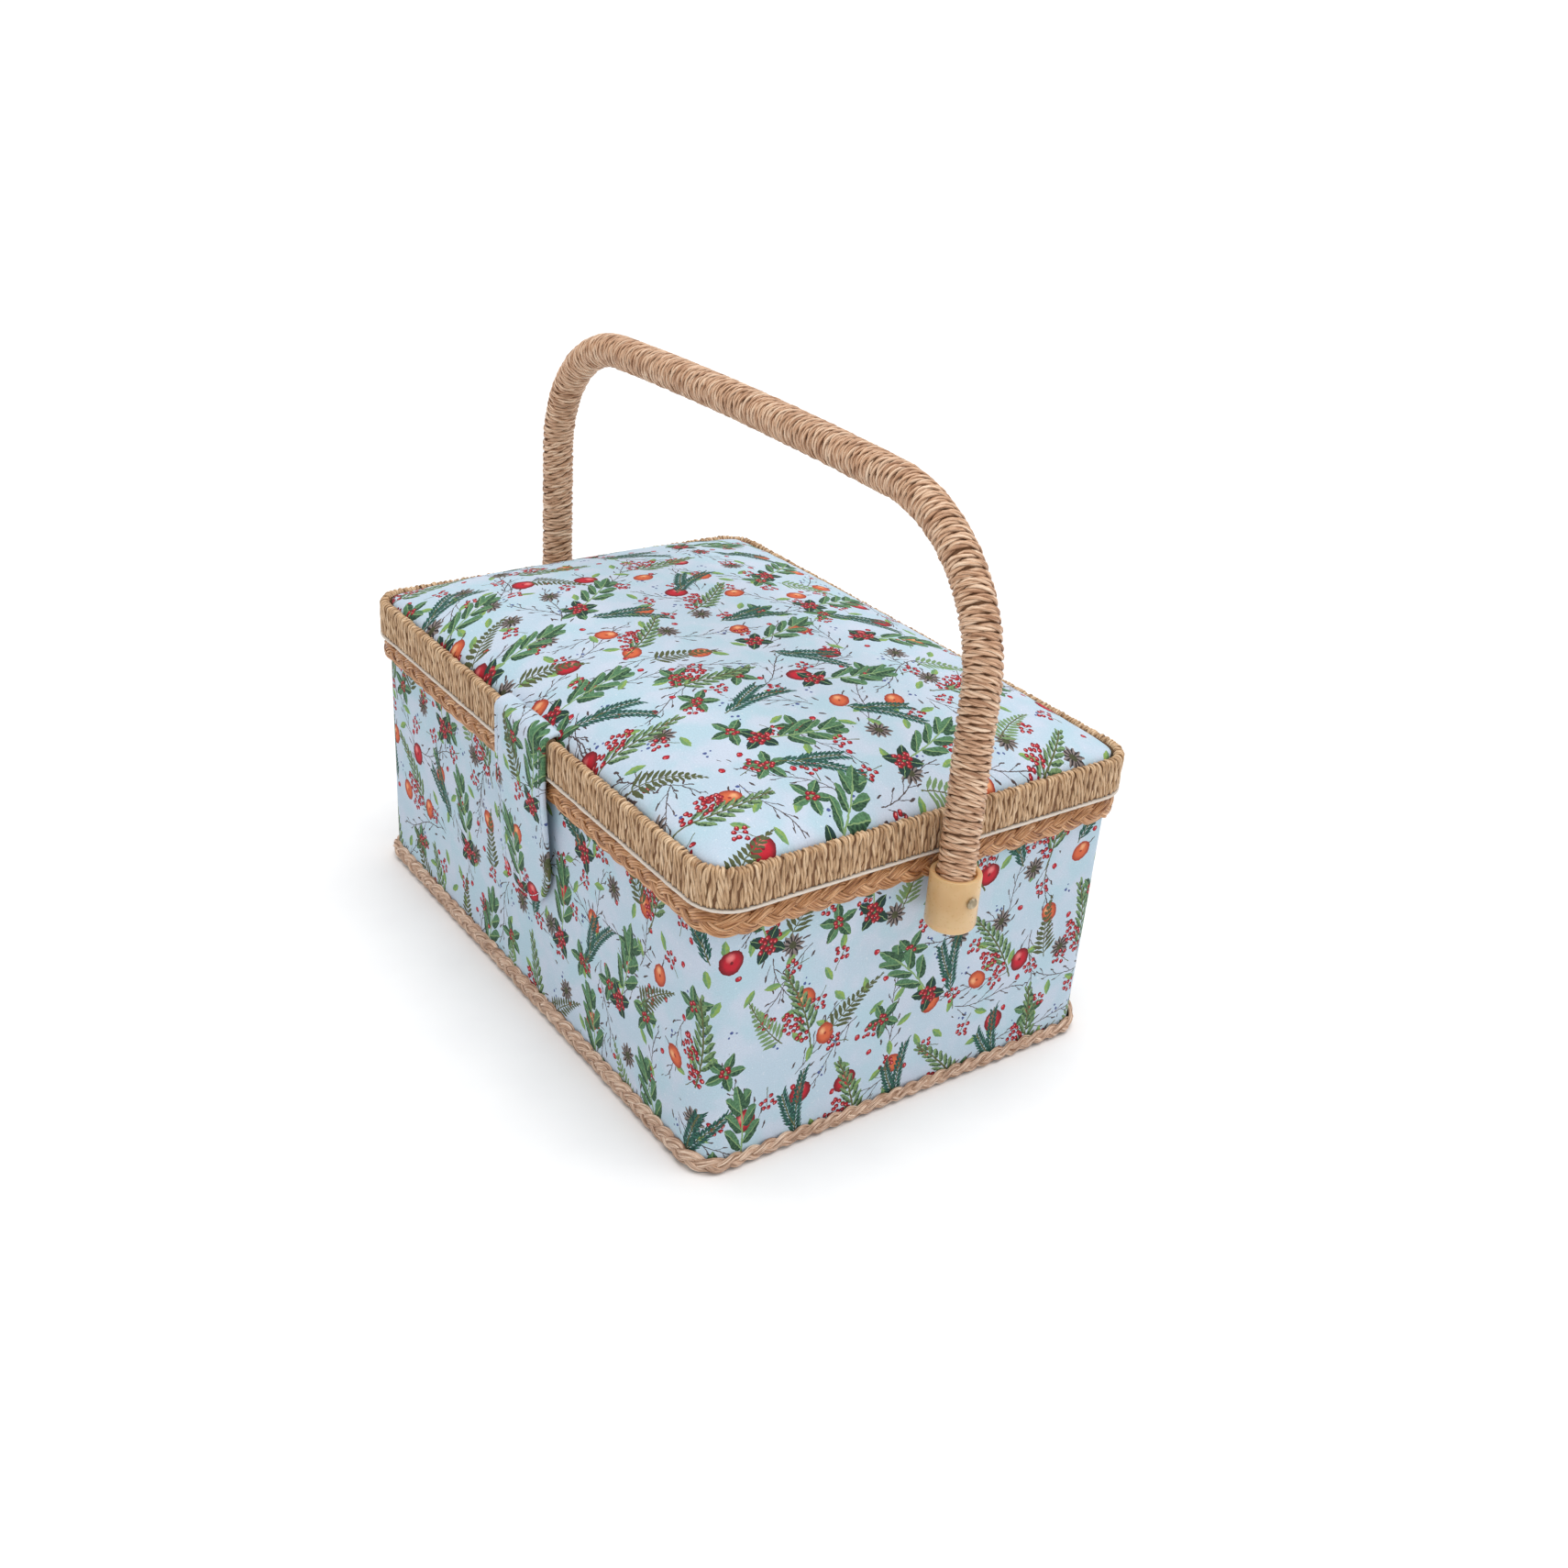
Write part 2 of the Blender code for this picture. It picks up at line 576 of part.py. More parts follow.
def make_tab(fabric, steel, lid_hinge, tab_hinge):
    low_x = TAB_CENTRE - TAB_WIDTH / 2
    high_x = TAB_CENTRE + TAB_WIDTH / 2
    root_end = -HALF_WIDTH - CROWN_OFFSET - GAP
    block(
        "tab_root",
        (low_x, -TAB_FACE + GAP, RIM_TOP + GAP),
        (high_x, root_end, RIM_TOP + GAP + TAB_ROOT_THICKNESS),
        fabric,
        lid_hinge,
    )
    drops = [0, TAB_STRAIGHT]
    for step in range(TAB_CORNER_STEPS + 1):
        angle = math.pi / 2 * step / TAB_CORNER_STEPS
        drops.append(TAB_LENGTH - TAB_RIGHT_CORNER * (1 - math.sin(angle)))
    loops = []
    for drop in drops:
        left = low_x - TAB_CENTRE + corner_inset(drop, TAB_LEFT_CORNER)
        right = high_x - TAB_CENTRE - corner_inset(drop, TAB_RIGHT_CORNER)
        places = ((left, -0.5), (right, -0.5), (right, 0.5), (left, 0.5))
        loops.append([tab_point(drop, out * TAB_THICKNESS) + Vector((side, 0, 0)) for side, out in places])
    tab = loft("closure_tab", loops, fabric, parent=tab_hinge)
    roll_profile = ((TAB_THICKNESS / 2, 0), (TAB_THICKNESS / 2, TAB_WIDTH))
    roll = turned("tab_roll", roll_profile, (low_x, TAB_AXIS_Y, TAB_AXIS_Z), (1, 0, 0), fabric, SMALL_SIDES)
    join(tab, roll)
    inward = Vector((0, math.cos(TAB_LEAN), math.sin(TAB_LEAN)))
    back = tab_point(MAGNET_DROP, -TAB_THICKNESS / 2)
    pocket_end = back - (MAGNET_THICKNESS + GAP) * inward
    drill([tab], "magnet_pocket", MAGNET_RADIUS + GAP, back + OVERRUN * inward, pocket_end, ROUND_SIDES)
    turned(
        "tab_magnet",
        ((MAGNET_RADIUS, 0), (MAGNET_RADIUS, MAGNET_THICKNESS)),
        back - MAGNET_THICKNESS * inward,
        inward,
        steel,
        parent=tab_hinge,
    )


def handle_path(per_bend, per_beam, leg_points):
    """The handle's centre line from the left leg to the right one, in the plane of the two legs."""
    top = PIVOT_HEIGHT + HANDLE_HEIGHT
    bend_x = LEG_PLACE - BEND_RADIUS
    bend_z = top - BEND_RADIUS
    half = [Vector((LEG_PLACE, 0, height)) for height in leg_points]
    for step in range(per_bend + 1):
        angle = math.pi / 2 * step / per_bend
        reach = Vector((math.cos(angle), 0, math.sin(angle)))
        half.append(Vector((bend_x, 0, bend_z)) + BEND_RADIUS * reach)
    for step in range(1, per_beam // 2 + 1):
        along = 2 * step / per_beam
        bow = HANDLE_BOW * (1 - (1 - along) ** 2)
        half.append(Vector((bend_x * (1 - along), 0, top + bow)))
    mirrored = [Vector((-point.x, 0, point.z)) for point in half[:-1]]
    return mirrored + list(reversed(half))


def tube_rings(points, radii):
    """Rings square to a path in the XZ plane, one per point."""
    rings = []
    side = Vector((0, 1, 0))
    for index, (point, radius) in enumerate(zip(points, radii)):
        before = points[max(index - 1, 0)]
        after = points[min(index + 1, len(points) - 1)]
        normal = side.cross((after - before).normalized())
        ring = []
        for step in range(HANDLE_SIDES):
            angle = 2 * math.pi * (step + 0.5) / HANDLE_SIDES
            ring.append(point + radius * (math.cos(angle) * normal + math.sin(angle) * side))
        rings.append(ring)
    return rings


def make_handle(raffia, core_finish, plastic, hinge):
    socket_top = PIVOT_HEIGHT + SOCKET_ABOVE_PIVOT
    socket_bottom = PIVOT_HEIGHT - SOCKET_BELOW_PIVOT
    wrap_start = socket_top - WRAP_INSERTION
    core_start = socket_bottom + SOCKET_FLOOR + GAP
    bend_z = PIVOT_HEIGHT + HANDLE_HEIGHT - BEND_RADIUS
    core_points = handle_path(BORE_STEPS_IN_BEND, BORE_STEPS_IN_BEAM, [core_start, wrap_start])
    core_radii = [CORE_RADIUS] * len(core_points)
    core = loft("handle_core", tube_rings(core_points, core_radii), core_finish, smooth=True, parent=hinge)

    leg = bend_z - wrap_start
    bend = math.pi / 2 * BEND_RADIUS
    beam = 2 * (LEG_PLACE - BEND_RADIUS)
    pitch = (2 * leg + 2 * bend + beam) / WRAP_RIBS
    leg_steps = 2 * round(leg / pitch)
    heights = [wrap_start + leg * step / leg_steps for step in range(leg_steps)]
    ribbed = handle_path(2 * round(bend / pitch), 4 * round(beam / pitch / 2), heights)
    radii = [WRAP_RADIUS - WRAP_RIB_DEPTH * ((index + 1) % 2) for index in range(len(ribbed))]
    outer = tube_rings(ribbed, radii)
    bore_points = handle_path(BORE_STEPS_IN_BEND, BORE_STEPS_IN_BEAM, [wrap_start])
    bore = tube_rings(bore_points, [CORE_RADIUS + GAP] * len(bore_points))
    loops = outer + list(reversed(bore))
    loft("handle_wrap", loops, raffia, ring=True, smooth=True, parent=hinge)

    height = socket_top - socket_bottom
    inner = SOCKET_RADIUS - SOCKET_WALL
    profile = (
        (SOCKET_RADIUS - SOCKET_BEVEL, 0),
        (SOCKET_RADIUS, SOCKET_BEVEL),
        (SOCKET_RADIUS, height - SOCKET_BEVEL / 2),
        (SOCKET_RADIUS - SOCKET_BEVEL / 2, height),
        (inner, height),
        (inner, SOCKET_FLOOR),
    )
    for name, side in (("socket_left", -1), ("socket_right", 1)):
        place = (side * LEG_PLACE, 0, socket_bottom)
        socket = turned(name, profile, place, (0, 0, 1), plastic, parent=hinge)
        reach = SOCKET_RADIUS + OVERRUN
        start = (side * (LEG_PLACE - reach), 0, PIVOT_HEIGHT)
        end = (side * (LEG_PLACE + reach), 0, PIVOT_HEIGHT)
        drill([socket, core], name + "_bore", SCREW_RADIUS + GAP, start, end)


def make_pivot_screws(steel, walls):
    for side_name, side in (("left", -1), ("right", 1)):
        axis = (side, 0, 0)
        inner_end = NUT_START - NUT_THICKNESS - GAP
        length = SCREW_HEAD_START - inner_end
        profile = (
            (SCREW_RADIUS, 0),
            (SCREW_RADIUS, length),
            (SCREW_HEAD_RADIUS, length),
            *((SCREW_HEAD_RADIUS * wide, length + SCREW_HEAD_HEIGHT * up) for wide, up in SCREW_DOME_SHARES),
        )
        start = (side * inner_end, 0, PIVOT_HEIGHT)
        turned(f"pivot_screw_{side_name}", profile, start, axis, steel, SMALL_SIDES)
        hole = SCREW_RADIUS + GAP
        for kind, outer_face, radius, thickness, sides in (
            ("washer", WASHER_START, WASHER_RADIUS, WASHER_THICKNESS, SMALL_SIDES),
            ("nut", NUT_START, NUT_RADIUS, NUT_THICKNESS, NUT_SIDES),
        ):
            profile = ((hole, 0), (radius, 0), (radius, thickness), (hole, thickness))
            place = (side * (outer_face - thickness), 0, PIVOT_HEIGHT)
            turned(f"pivot_{kind}_{side_name}", profile, place, axis, steel, sides, ring=True)
        outside = (side * (HALF_LENGTH + OVERRUN), 0, PIVOT_HEIGHT)
        inside = (side * WASHER_START, 0, PIVOT_HEIGHT)
        drill(walls, f"pivot_hole_{side_name}", hole, inside, outside)


def make_hinges(steel, body_skins, lid_skins, lid_hinge):
    knuckle = KNUCKLE_SHARE * HINGE_LENGTH
    side_knuckle = (HINGE_LENGTH - knuckle) / 2 - GAP
    plate_face = HALF_WIDTH + TOP_BRAID_OFFSET + GAP
    lid_face = HALF_WIDTH + RIM_OFFSET + GAP
    clear_low = HINGE_Z - KNUCKLE_RADIUS - GAP
    clear_high = HINGE_Z + KNUCKLE_RADIUS + GAP
    for name, centre in (("left", -HINGE_SPACING / 2), ("right", HINGE_SPACING / 2)):
        start = centre - HINGE_LENGTH / 2
        end = centre + HINGE_LENGTH / 2
        body_leaf = block(
            f"hinge_body_leaf_{name}",
            (start, plate_face, clear_low - BODY_LEAF_HEIGHT),
            (end, plate_face + LEAF_THICKNESS, clear_low),
            steel,
        )
        lid_leaf = block(
            f"hinge_lid_leaf_{name}",
            (start, lid_face, clear_high),
            (end, lid_face + LEAF_THICKNESS, clear_high + LID_LEAF_HEIGHT),
            steel,
            lid_hinge,
        )
        body_low = clear_low - LEAF_THICKNESS
        lid_high = clear_high + LEAF_THICKNESS
        barrels = (
            (body_leaf, start, side_knuckle, body_low, HINGE_Z, plate_face, "a"),
            (body_leaf, end - side_knuckle, side_knuckle, body_low, HINGE_Z, plate_face, "b"),
            (lid_leaf, centre - knuckle / 2, knuckle, HINGE_Z, lid_high, lid_face, "c"),
        )
        for leaf, barrel_start, length, low, high, face, letter in barrels:
            near = lid_face if leaf is body_leaf else face
            bracket_top = high if leaf is lid_leaf else HINGE_Z
            bracket = block(
                f"hinge_bracket_{name}_{letter}",
                (barrel_start, near, low),
                (barrel_start + length, HINGE_Y, bracket_top),
                steel,
            )
            join(leaf, bracket)
            if leaf is body_leaf:
                foot = block(
                    f"hinge_foot_{name}_{letter}",
                    (barrel_start, face, low),
                    (barrel_start + length, near + GAP, clear_low),
                    steel,
                )
                join(leaf, foot)
            profile = ((KNUCKLE_RADIUS, 0), (KNUCKLE_RADIUS, length))
            barrel = turned(
                f"hinge_barrel_{name}_{letter}",
                profile,
                (barrel_start, HINGE_Y, HINGE_Z),
                (1, 0, 0),
                steel,
                SMALL_SIDES,
            )
            join(leaf, barrel)
        bore_start = (start - OVERRUN, HINGE_Y, HINGE_Z)
        bore_end = (end + OVERRUN, HINGE_Y, HINGE_Z)
        drill([body_leaf, lid_leaf], f"hinge_bore_{name}", PIN_RADIUS + GAP / 2, bore_start, bore_end)
        pin_profile = ((PIN_RADIUS, 0), (PIN_RADIUS, HINGE_LENGTH))
        turned(f"hinge_pin_{name}", pin_profile, (start, HINGE_Y, HINGE_Z), (1, 0, 0), steel, SMALL_SIDES)
        body_middle = clear_low - BODY_LEAF_HEIGHT / 2
        lid_middle = clear_high + LID_LEAF_HEIGHT / 2
        for number, share in enumerate((-LEAF_SCREW_PLACE_SHARE, LEAF_SCREW_PLACE_SHARE), 1):
            across = centre + share * HINGE_LENGTH
            place = (across, plate_face + LEAF_THICKNESS, body_middle)
            leaf_screw(f"body_leaf_screw_{name}_{number}", place, steel, [body_leaf] + body_skins, None)
            place = (across, lid_face + LEAF_THICKNESS, lid_middle)
            leaf_screw(f"lid_leaf_screw_{name}_{number}", place, steel, [lid_leaf] + lid_skins, lid_hinge)


def leaf_screw(name, place, steel, holed, parent):
    """A short screw through a hinge leaf, with its head on the leaf and its hole in what it holds."""
    tip = Vector(place) - Vector((0, LEAF_SCREW_LENGTH, 0))
    seat = LEAF_SCREW_LENGTH + GAP
    profile = (
        (LEAF_SCREW_RADIUS, 0),
        (LEAF_SCREW_RADIUS, seat),
        (LEAF_SCREW_HEAD_RADIUS, seat),
        (LEAF_SCREW_HEAD_RADIUS * LEAF_SCREW_DOME_SHARE, seat + LEAF_SCREW_HEAD_HEIGHT),
    )
    turned(name, profile, tip, (0, 1, 0), steel, LEAF_SCREW_SIDES, parent)
    hole_end = Vector(place) + Vector((0, OVERRUN / 2, 0))
    hole_start = tip - Vector((0, GAP, 0))
    drill(holed, name + "_hole", LEAF_SCREW_RADIUS + GAP, hole_start, hole_end, LEAF_SCREW_SIDES)


def main():
    for old in list(bpy.data.objects):
        bpy.data.objects.remove(old, do_unlink=True)
    fabric = material("printed_cotton", (0.55, 0.66, 0.8), 0.85)
    lining = material("lining_cotton", (0.78, 0.76, 0.72), 0.9)
    board = material("fibreboard", (0.45, 0.38, 0.28), 0.9)
    straw = material("straw_braid", (0.5, 0.28, 0.12), 0.75)
    raffia = material("raffia", (0.58, 0.38, 0.24), 0.6)
    felt = material("felt_edging", (0.78, 0.72, 0.64), 0.95)
    foam = material("foam", (0.85, 0.83, 0.75), 0.95)
    plastic = material("beige_plastic", (0.68, 0.46, 0.3), 0.4)
    tray_plastic = material("tray_plastic", (0.8, 0.82, 0.85), 0.35)
    pin_fabric = material("pincushion_cotton", (0.6, 0.12, 0.12), 0.9)
    core_finish = material("handle_tube", (0.5, 0.4, 0.3), 0.6)
    steel = material("nickel_steel", (0.55, 0.5, 0.42), 0.35, 0.9)

    lid_hinge = pivot("lid_hinge", (0, HINGE_Y, HINGE_Z))
    tab_hinge = pivot("tab_hinge", (TAB_CENTRE, TAB_AXIS_Y, TAB_AXIS_Z))
    handle_hinge = pivot("handle_hinge", (0, 0, PIVOT_HEIGHT))

    base_board, walls, cover, inside, top_braid = make_body(fabric, lining, board, straw, steel)
    make_tray(tray_plastic, board, pin_fabric)
    edging, core, wrap = make_lid(fabric, lining, board, raffia, felt, foam, lid_hinge)
    make_tab(fabric, steel, lid_hinge, tab_hinge)
    make_handle(raffia, core_finish, plastic, handle_hinge)
    make_pivot_screws(steel, [walls, cover, inside, top_braid])
    make_hinges(steel, [top_braid, cover, walls], [wrap, core], lid_hinge)


main()
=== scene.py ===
import math
import random
from functools import partialmethod

import bmesh
import bpy
import numpy as np
from mathutils import Matrix, Vector, noise


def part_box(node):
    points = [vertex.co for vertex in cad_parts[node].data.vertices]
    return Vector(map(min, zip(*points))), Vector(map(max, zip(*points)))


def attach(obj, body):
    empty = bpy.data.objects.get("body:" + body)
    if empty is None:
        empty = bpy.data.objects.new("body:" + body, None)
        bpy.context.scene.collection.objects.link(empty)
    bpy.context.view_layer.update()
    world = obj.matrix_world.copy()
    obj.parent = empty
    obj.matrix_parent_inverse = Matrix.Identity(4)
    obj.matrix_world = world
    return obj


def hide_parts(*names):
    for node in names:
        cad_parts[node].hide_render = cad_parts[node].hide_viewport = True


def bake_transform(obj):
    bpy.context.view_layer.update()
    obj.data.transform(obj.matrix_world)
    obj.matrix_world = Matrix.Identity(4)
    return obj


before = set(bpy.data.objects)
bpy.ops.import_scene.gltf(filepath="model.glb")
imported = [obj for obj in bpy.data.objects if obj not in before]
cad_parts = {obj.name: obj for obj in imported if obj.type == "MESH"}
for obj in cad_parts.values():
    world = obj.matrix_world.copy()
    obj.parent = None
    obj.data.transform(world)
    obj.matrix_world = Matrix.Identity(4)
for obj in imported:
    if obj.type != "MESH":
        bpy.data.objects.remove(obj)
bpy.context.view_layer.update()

MM = 0.001
PER_MM = 1 / MM
UP = Vector((0, 0, 1))
RANDOM = random.Random(4)


def corners(node):
    """The lowest and the highest corner of a node's box."""
    return [Vector(corner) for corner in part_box(node)]


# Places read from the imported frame
WALL_LOW, WALL_HIGH = corners("wall_fabric")
RIM_LOW, RIM_HIGH = corners("lid_rim_wrap")
EDGING_LOW, EDGING_HIGH = corners("lid_edging")
COVER_HIGH = corners("lid_cover")[1]
TAB_LOW, TAB_HIGH = corners("closure_tab")
ROOT_HIGH = corners("tab_root")[1]
WRAP_LOW, WRAP_HIGH = corners("handle_wrap")
SOCKET_LOW, SOCKET_HIGH = corners("socket_right")

# Walls and linings
CORNER_RADIUS = 11 * MM
CLOTH_THICKNESS = 0.5 * MM
SHARP_ANGLE = math.radians(80)
WALL_STEP = 4 * MM
WALL_CORNER_STEPS = 12
WALL_ROWS = 24
WALL_WAVE = 0.12 * MM
WALL_WELD = 0.001 * MM
LINING_STEP = 5 * MM
LINING_CORNER_STEPS = 8

# Straw plaits, as shares of their height and depth
BUNDLES = 3
STRAWS = 5
STRAW_SIDES = 6
BRAID_STATIONS = 22
BRAID_SWING_SHARE = 0.29
BRAID_OUT_SHARE = 0.40
BRAID_WEAVE_SHARE = 0.21
BRAID_BUNDLE_SHARE = 0.42
BRAID_LEAN = 0.4
BRAID_ROLL = 0.5
BRAID_SAG = 0.3 * MM
MOUTH_PERIOD = 29 * MM
FOOT_PERIOD = 22 * MM
FOOT_NARROW = 0.72

# Rim strands and their backing, whose section is written as insets and depths below the top or above the foot
RIM_STRAND_SIDES = 6
RIM_PITCH = 2.65 * MM
RIM_LEAN = 0.5 * MM
RIM_LEAN_SPREAD = 0.45 * MM
RIM_LEAN_DRIFT = 1.2 * MM
RIM_SWAY = 0.25 * MM
RIM_DEPTH = 0.85 * MM
RIM_SINK = 0.3 * MM
RIM_PLY_SPREAD = 0.6 * MM
RIM_PLY_THICKNESS = 1.1 * MM
RIM_TWIST = (13 * MM, 20 * MM)
RIM_WIDTH_SHARES = (0.47, 0.58)
RIM_FOLD = 2.1 * MM
RIM_INNER = 4.4 * MM
RIM_STRAIGHT_STEPS = 11
RIM_FOLD_STEPS = 5
RIM_TUCK = (((RIM_FOLD + RIM_INNER) / 2, 0.1 * MM, (0.1, 1.0)), (RIM_INNER - 0.5 * MM, 0.7 * MM, (0.7, 0.7)),
            (RIM_INNER, 1.7 * MM, (1.0, 0.2)))
BACKING_FOOT = RIM_LOW.z + 0.1 * MM
BACKING_OUTER = 0.85 * MM
BACKING_INNER = 1.9 * MM
BACKING_TOP = ((0.85, 2.6), (1.6, 1.4), (2.6, 1.1), (4.0, 1.8), (4.1, 2.3), (2.0, 2.8))
BACKING_STEP = 5 * MM
BACKING_CORNER_STEPS = 10

# Felt line: (millimetres outward, share of half its height)
EDGING_STATIONS = 900
EDGING_SECTION = ((-0.2, -0.8), (0.15, -1.0), (0.5, -0.7), (0.62, 0.0), (0.5, 0.8), (0.1, 1.0), (-0.2, 1.0),
                  (-3.6, 0.9), (-3.6, -0.8))

# Tab
GAP = 0.3 * MM
TAB_THICKNESS = 2.0 * MM
TAB_BEND = 3.2 * MM
TAB_TOP = RIM_HIGH.z + 1.3 * MM
TAB_LEAN_START = EDGING_LOW.z - 5.8 * MM
TAB_LEAN_EASE = 8 * MM
TAB_LEFT_CORNER = 13 * MM
TAB_RIGHT_CORNER = 24 * MM
TAB_TUCK = 0.8 * MM
TAB_ARCH = 0.5 * MM
TAB_LIP = 0.9 * MM
TAB_SEAM = 2.7 * MM
TAB_GROOVE = 0.35 * MM
TAB_GROOVE_WIDTH = 0.5 * MM
TAB_FILL = 0.3 * MM
TAB_FILL_REACH = 10 * MM
TAB_WAVE = 0.22 * MM
TAB_WELD = 0.004 * MM
TAB_COLUMNS = 44
TAB_UPPER_SHARE = 0.72
TAB_UPPER_STEPS = 60
TAB_LOWER_STEPS = 46
TAB_PRINT_PLACE = (0.4, 0.3)
STITCH_PITCH = 2.6 * MM
STITCH_LENGTH = 2.1 * MM
STITCH_WIDTH = 0.42 * MM
STITCH_LIFT = 0.1 * MM
STITCH_STEP = 0.5 * MM
STITCH_START = 2 * MM
STITCH_SIDES = 6
TAB_FACE = RIM_LOW.y - GAP - TAB_THICKNESS / 2
TAB_FLAT = ROOT_HIGH.y + TAB_TUCK - (TAB_FACE + TAB_BEND)
TAB_ROUND = math.pi / 2 * TAB_BEND
TAB_FALL = TAB_TOP - TAB_BEND - TAB_LEAN_START
TAB_LEAN = math.asin((TAB_HIGH.y - TAB_THICKNESS / 2 - TAB_FACE) / (TAB_LEAN_START - TAB_LOW.z))
TAB_LENGTH = TAB_FLAT + TAB_ROUND + TAB_FALL + (TAB_LEAN_START - TAB_LOW.z) / math.cos(TAB_LEAN)
TAB_MIDDLE = (TAB_HIGH.x + TAB_LOW.x) / 2
TAB_HALF = (TAB_HIGH.x - TAB_LOW.x) / 2

# Crown, pincushion and pocket
CROWN_EDGE = RIM_HIGH.z - 1.2 * MM
CROWN_FOOT = RIM_HIGH.z - 4.1 * MM
CROWN_POWER = 3.6
CROWN_FULLNESS = 0.7
CROWN_SWELL = 1.2 * MM
CROWN_GATHER = 0.6 * MM
CROWN_GATHER_PITCH = 4.6 * MM
CROWN_GATHER_REACH = 13 * MM
CROWN_ARM = 120 * MM
CROWN_WAVE = 0.35 * MM
CROWN_HELD = 0.4 * MM
CROWN_PRESSURE = 4
CROWN_GRID = (84, 60)
PIN_SWELL = 3 * MM
PIN_PRESSURE = 120
PIN_CORNER = 6 * MM
PIN_GRID = (34, 34)
PIPING_WIDTH = 1.6 * MM
PIPING_STEPS = 96
PIPING_SIDES = 8
CLOTH = {"quality": 6, "mass": 0.15, "tension_stiffness": 15, "compression_stiffness": 15,
         "bending_stiffness": 0.5, "use_pressure": True, "vertex_group_mass": "held"}
SWELL_FRAMES = 20
SOFT_WELD = 0.01 * MM
POCKET_PLEAT = 5 * MM
POCKET_FADE = 22 * MM
POCKET_SWING = 0.9
POCKET_GRID = (300, 24)

# Handle and sockets. Plies have sides, twist, spread, width and thickness, and the sockets' foot and
# lip are millimetres inward and away from the end
WRAP_RADIUS = (WRAP_HIGH.y - WRAP_LOW.y) / 2
HANDLE_BEND = 55.5 * MM
HANDLE_BOW = 1.7 * MM
HANDLE_STEPS = 60
HANDLE_AXIS = Vector((0, 1, 0))
RAIL_STEP = 1.5 * MM
WINDING_START = 1.2 * MM
WINDING_MARGIN = 0.8 * MM
WINDING_PITCH = 2.75 * MM
WINDING_STATIONS = 26
WINDING_SLANT = 2.6 * MM
WINDING_SLANT_DRIFT = 1.6 * MM
WINDING_JITTER = 0.5 * MM
WINDING_FRAY = 0.3 * MM
WINDING_DEPTH = 1.05 * MM
WINDING_LIFT = 0.25 * MM
WINDING_PLIES = (7, 16 * MM, 0.68 * MM, 0.54 * WINDING_PITCH, 1.2 * MM)
TUBE_DEPTH = 1.3 * MM
TUBE_SIDES = 20
TUBE_STEPS = 220
SOCKET_SIDES = 64
SOCKET_FLOOR = 2.0 * MM
SOCKET_BORE = 0.4 * MM
SOCKET_FOOT = ((1.4, 0.0), (0.7, 0.15), (0.25, 0.7), (0.0, 1.54))
SOCKET_LIP = ((0.0, 0.7), (0.2, 0.2), (0.5, 0.0), (1.6, 0.0), (1.9, 0.3))

# Camera: place in metres, directions in degrees, focal length in pixels of the photograph
CAMERA_PLACE = Vector((0.5007, -0.3487, 0.393))
CAMERA_AZIMUTH = 52.76
CAMERA_ELEVATION = 27.57
CAMERA_ROLL = 4.48
CAMERA_NEAR = 0.01
FOCAL_PIXELS = 1814.5
PHOTO_PIXELS = 1710
SENSOR_MM = 36

# Floor and light, in metres, degrees and watts
FLOOR_REACH = 80.0
FLOOR_DROP = 0.1 * MM
WORLD_STRENGTH = 0.62
SUN_STRENGTH = 1.9
SUN_WIDTH = 50
SUN_FROM = (0.05, 0.02, 1.0)
SIDE_WATTS = 1.8
SIDE_SIZE = 0.5
SIDE_FROM = (0.9, 1.0, 0.8)
SIDE_TARGET = (0, 0, 0.15)


# Shader arithmetic

def linear(red, green, blue):
    """A display colour from 0 to 255 as a linear colour."""
    parts = [channel / 255 for channel in (red, green, blue)]
    return tuple(part / 12.92 if part <= 0.04045 else ((part + 0.055) / 1.055) ** 2.4 for part in parts)


class Value:
    """A number in a shader that can be calculated with."""

    def __init__(self, finish, socket):
        self.finish = finish
        self.socket = socket

    def calculate(self, operation, *others):
        return self.finish.value("Math", (self, *others), operation=operation)

    __add__ = __radd__ = partialmethod(calculate, "ADD")
    __mul__ = __rmul__ = partialmethod(calculate, "MULTIPLY")
    __sub__ = partialmethod(calculate, "SUBTRACT")
    __truediv__ = partialmethod(calculate, "DIVIDE")
    __gt__ = partialmethod(calculate, "GREATER_THAN")
    __lt__ = partialmethod(calculate, "LESS_THAN")
    __and__ = partialmethod(calculate, "MINIMUM")
    __or__ = partialmethod(calculate, "MAXIMUM")
    __abs__ = partialmethod(calculate, "ABSOLUTE")
    floor = partialmethod(calculate, "FLOOR")
    sin = partialmethod(calculate, "SINE")
    cos = partialmethod(calculate, "COSINE")
    root = partialmethod(calculate, "SQRT")
    square = partialmethod(calculate, "POWER", 2.0)
    angle_from = partialmethod(calculate, "ARCTAN2")

    def __rsub__(self, other):
        return self * -1 + other

    def within(self, low, high):
        return (self > low) & (self < high)

    def ramp(self, low, high, start=0.0, end=1.0):
        """Start below low, end above high, and smooth between them."""
        return self.finish.value("MapRange", (self, low, high, start, end), interpolation_type="SMOOTHSTEP")


def span(x, y):
    return (x.square() + y.square()).root()


def turned(x, y, degrees):
    """The place x, y in axes turned by an angle."""
    cosine, sine = math.cos(math.radians(degrees)), math.sin(math.radians(degrees))
    return x * cosine + y * sine, y * cosine - x * sine


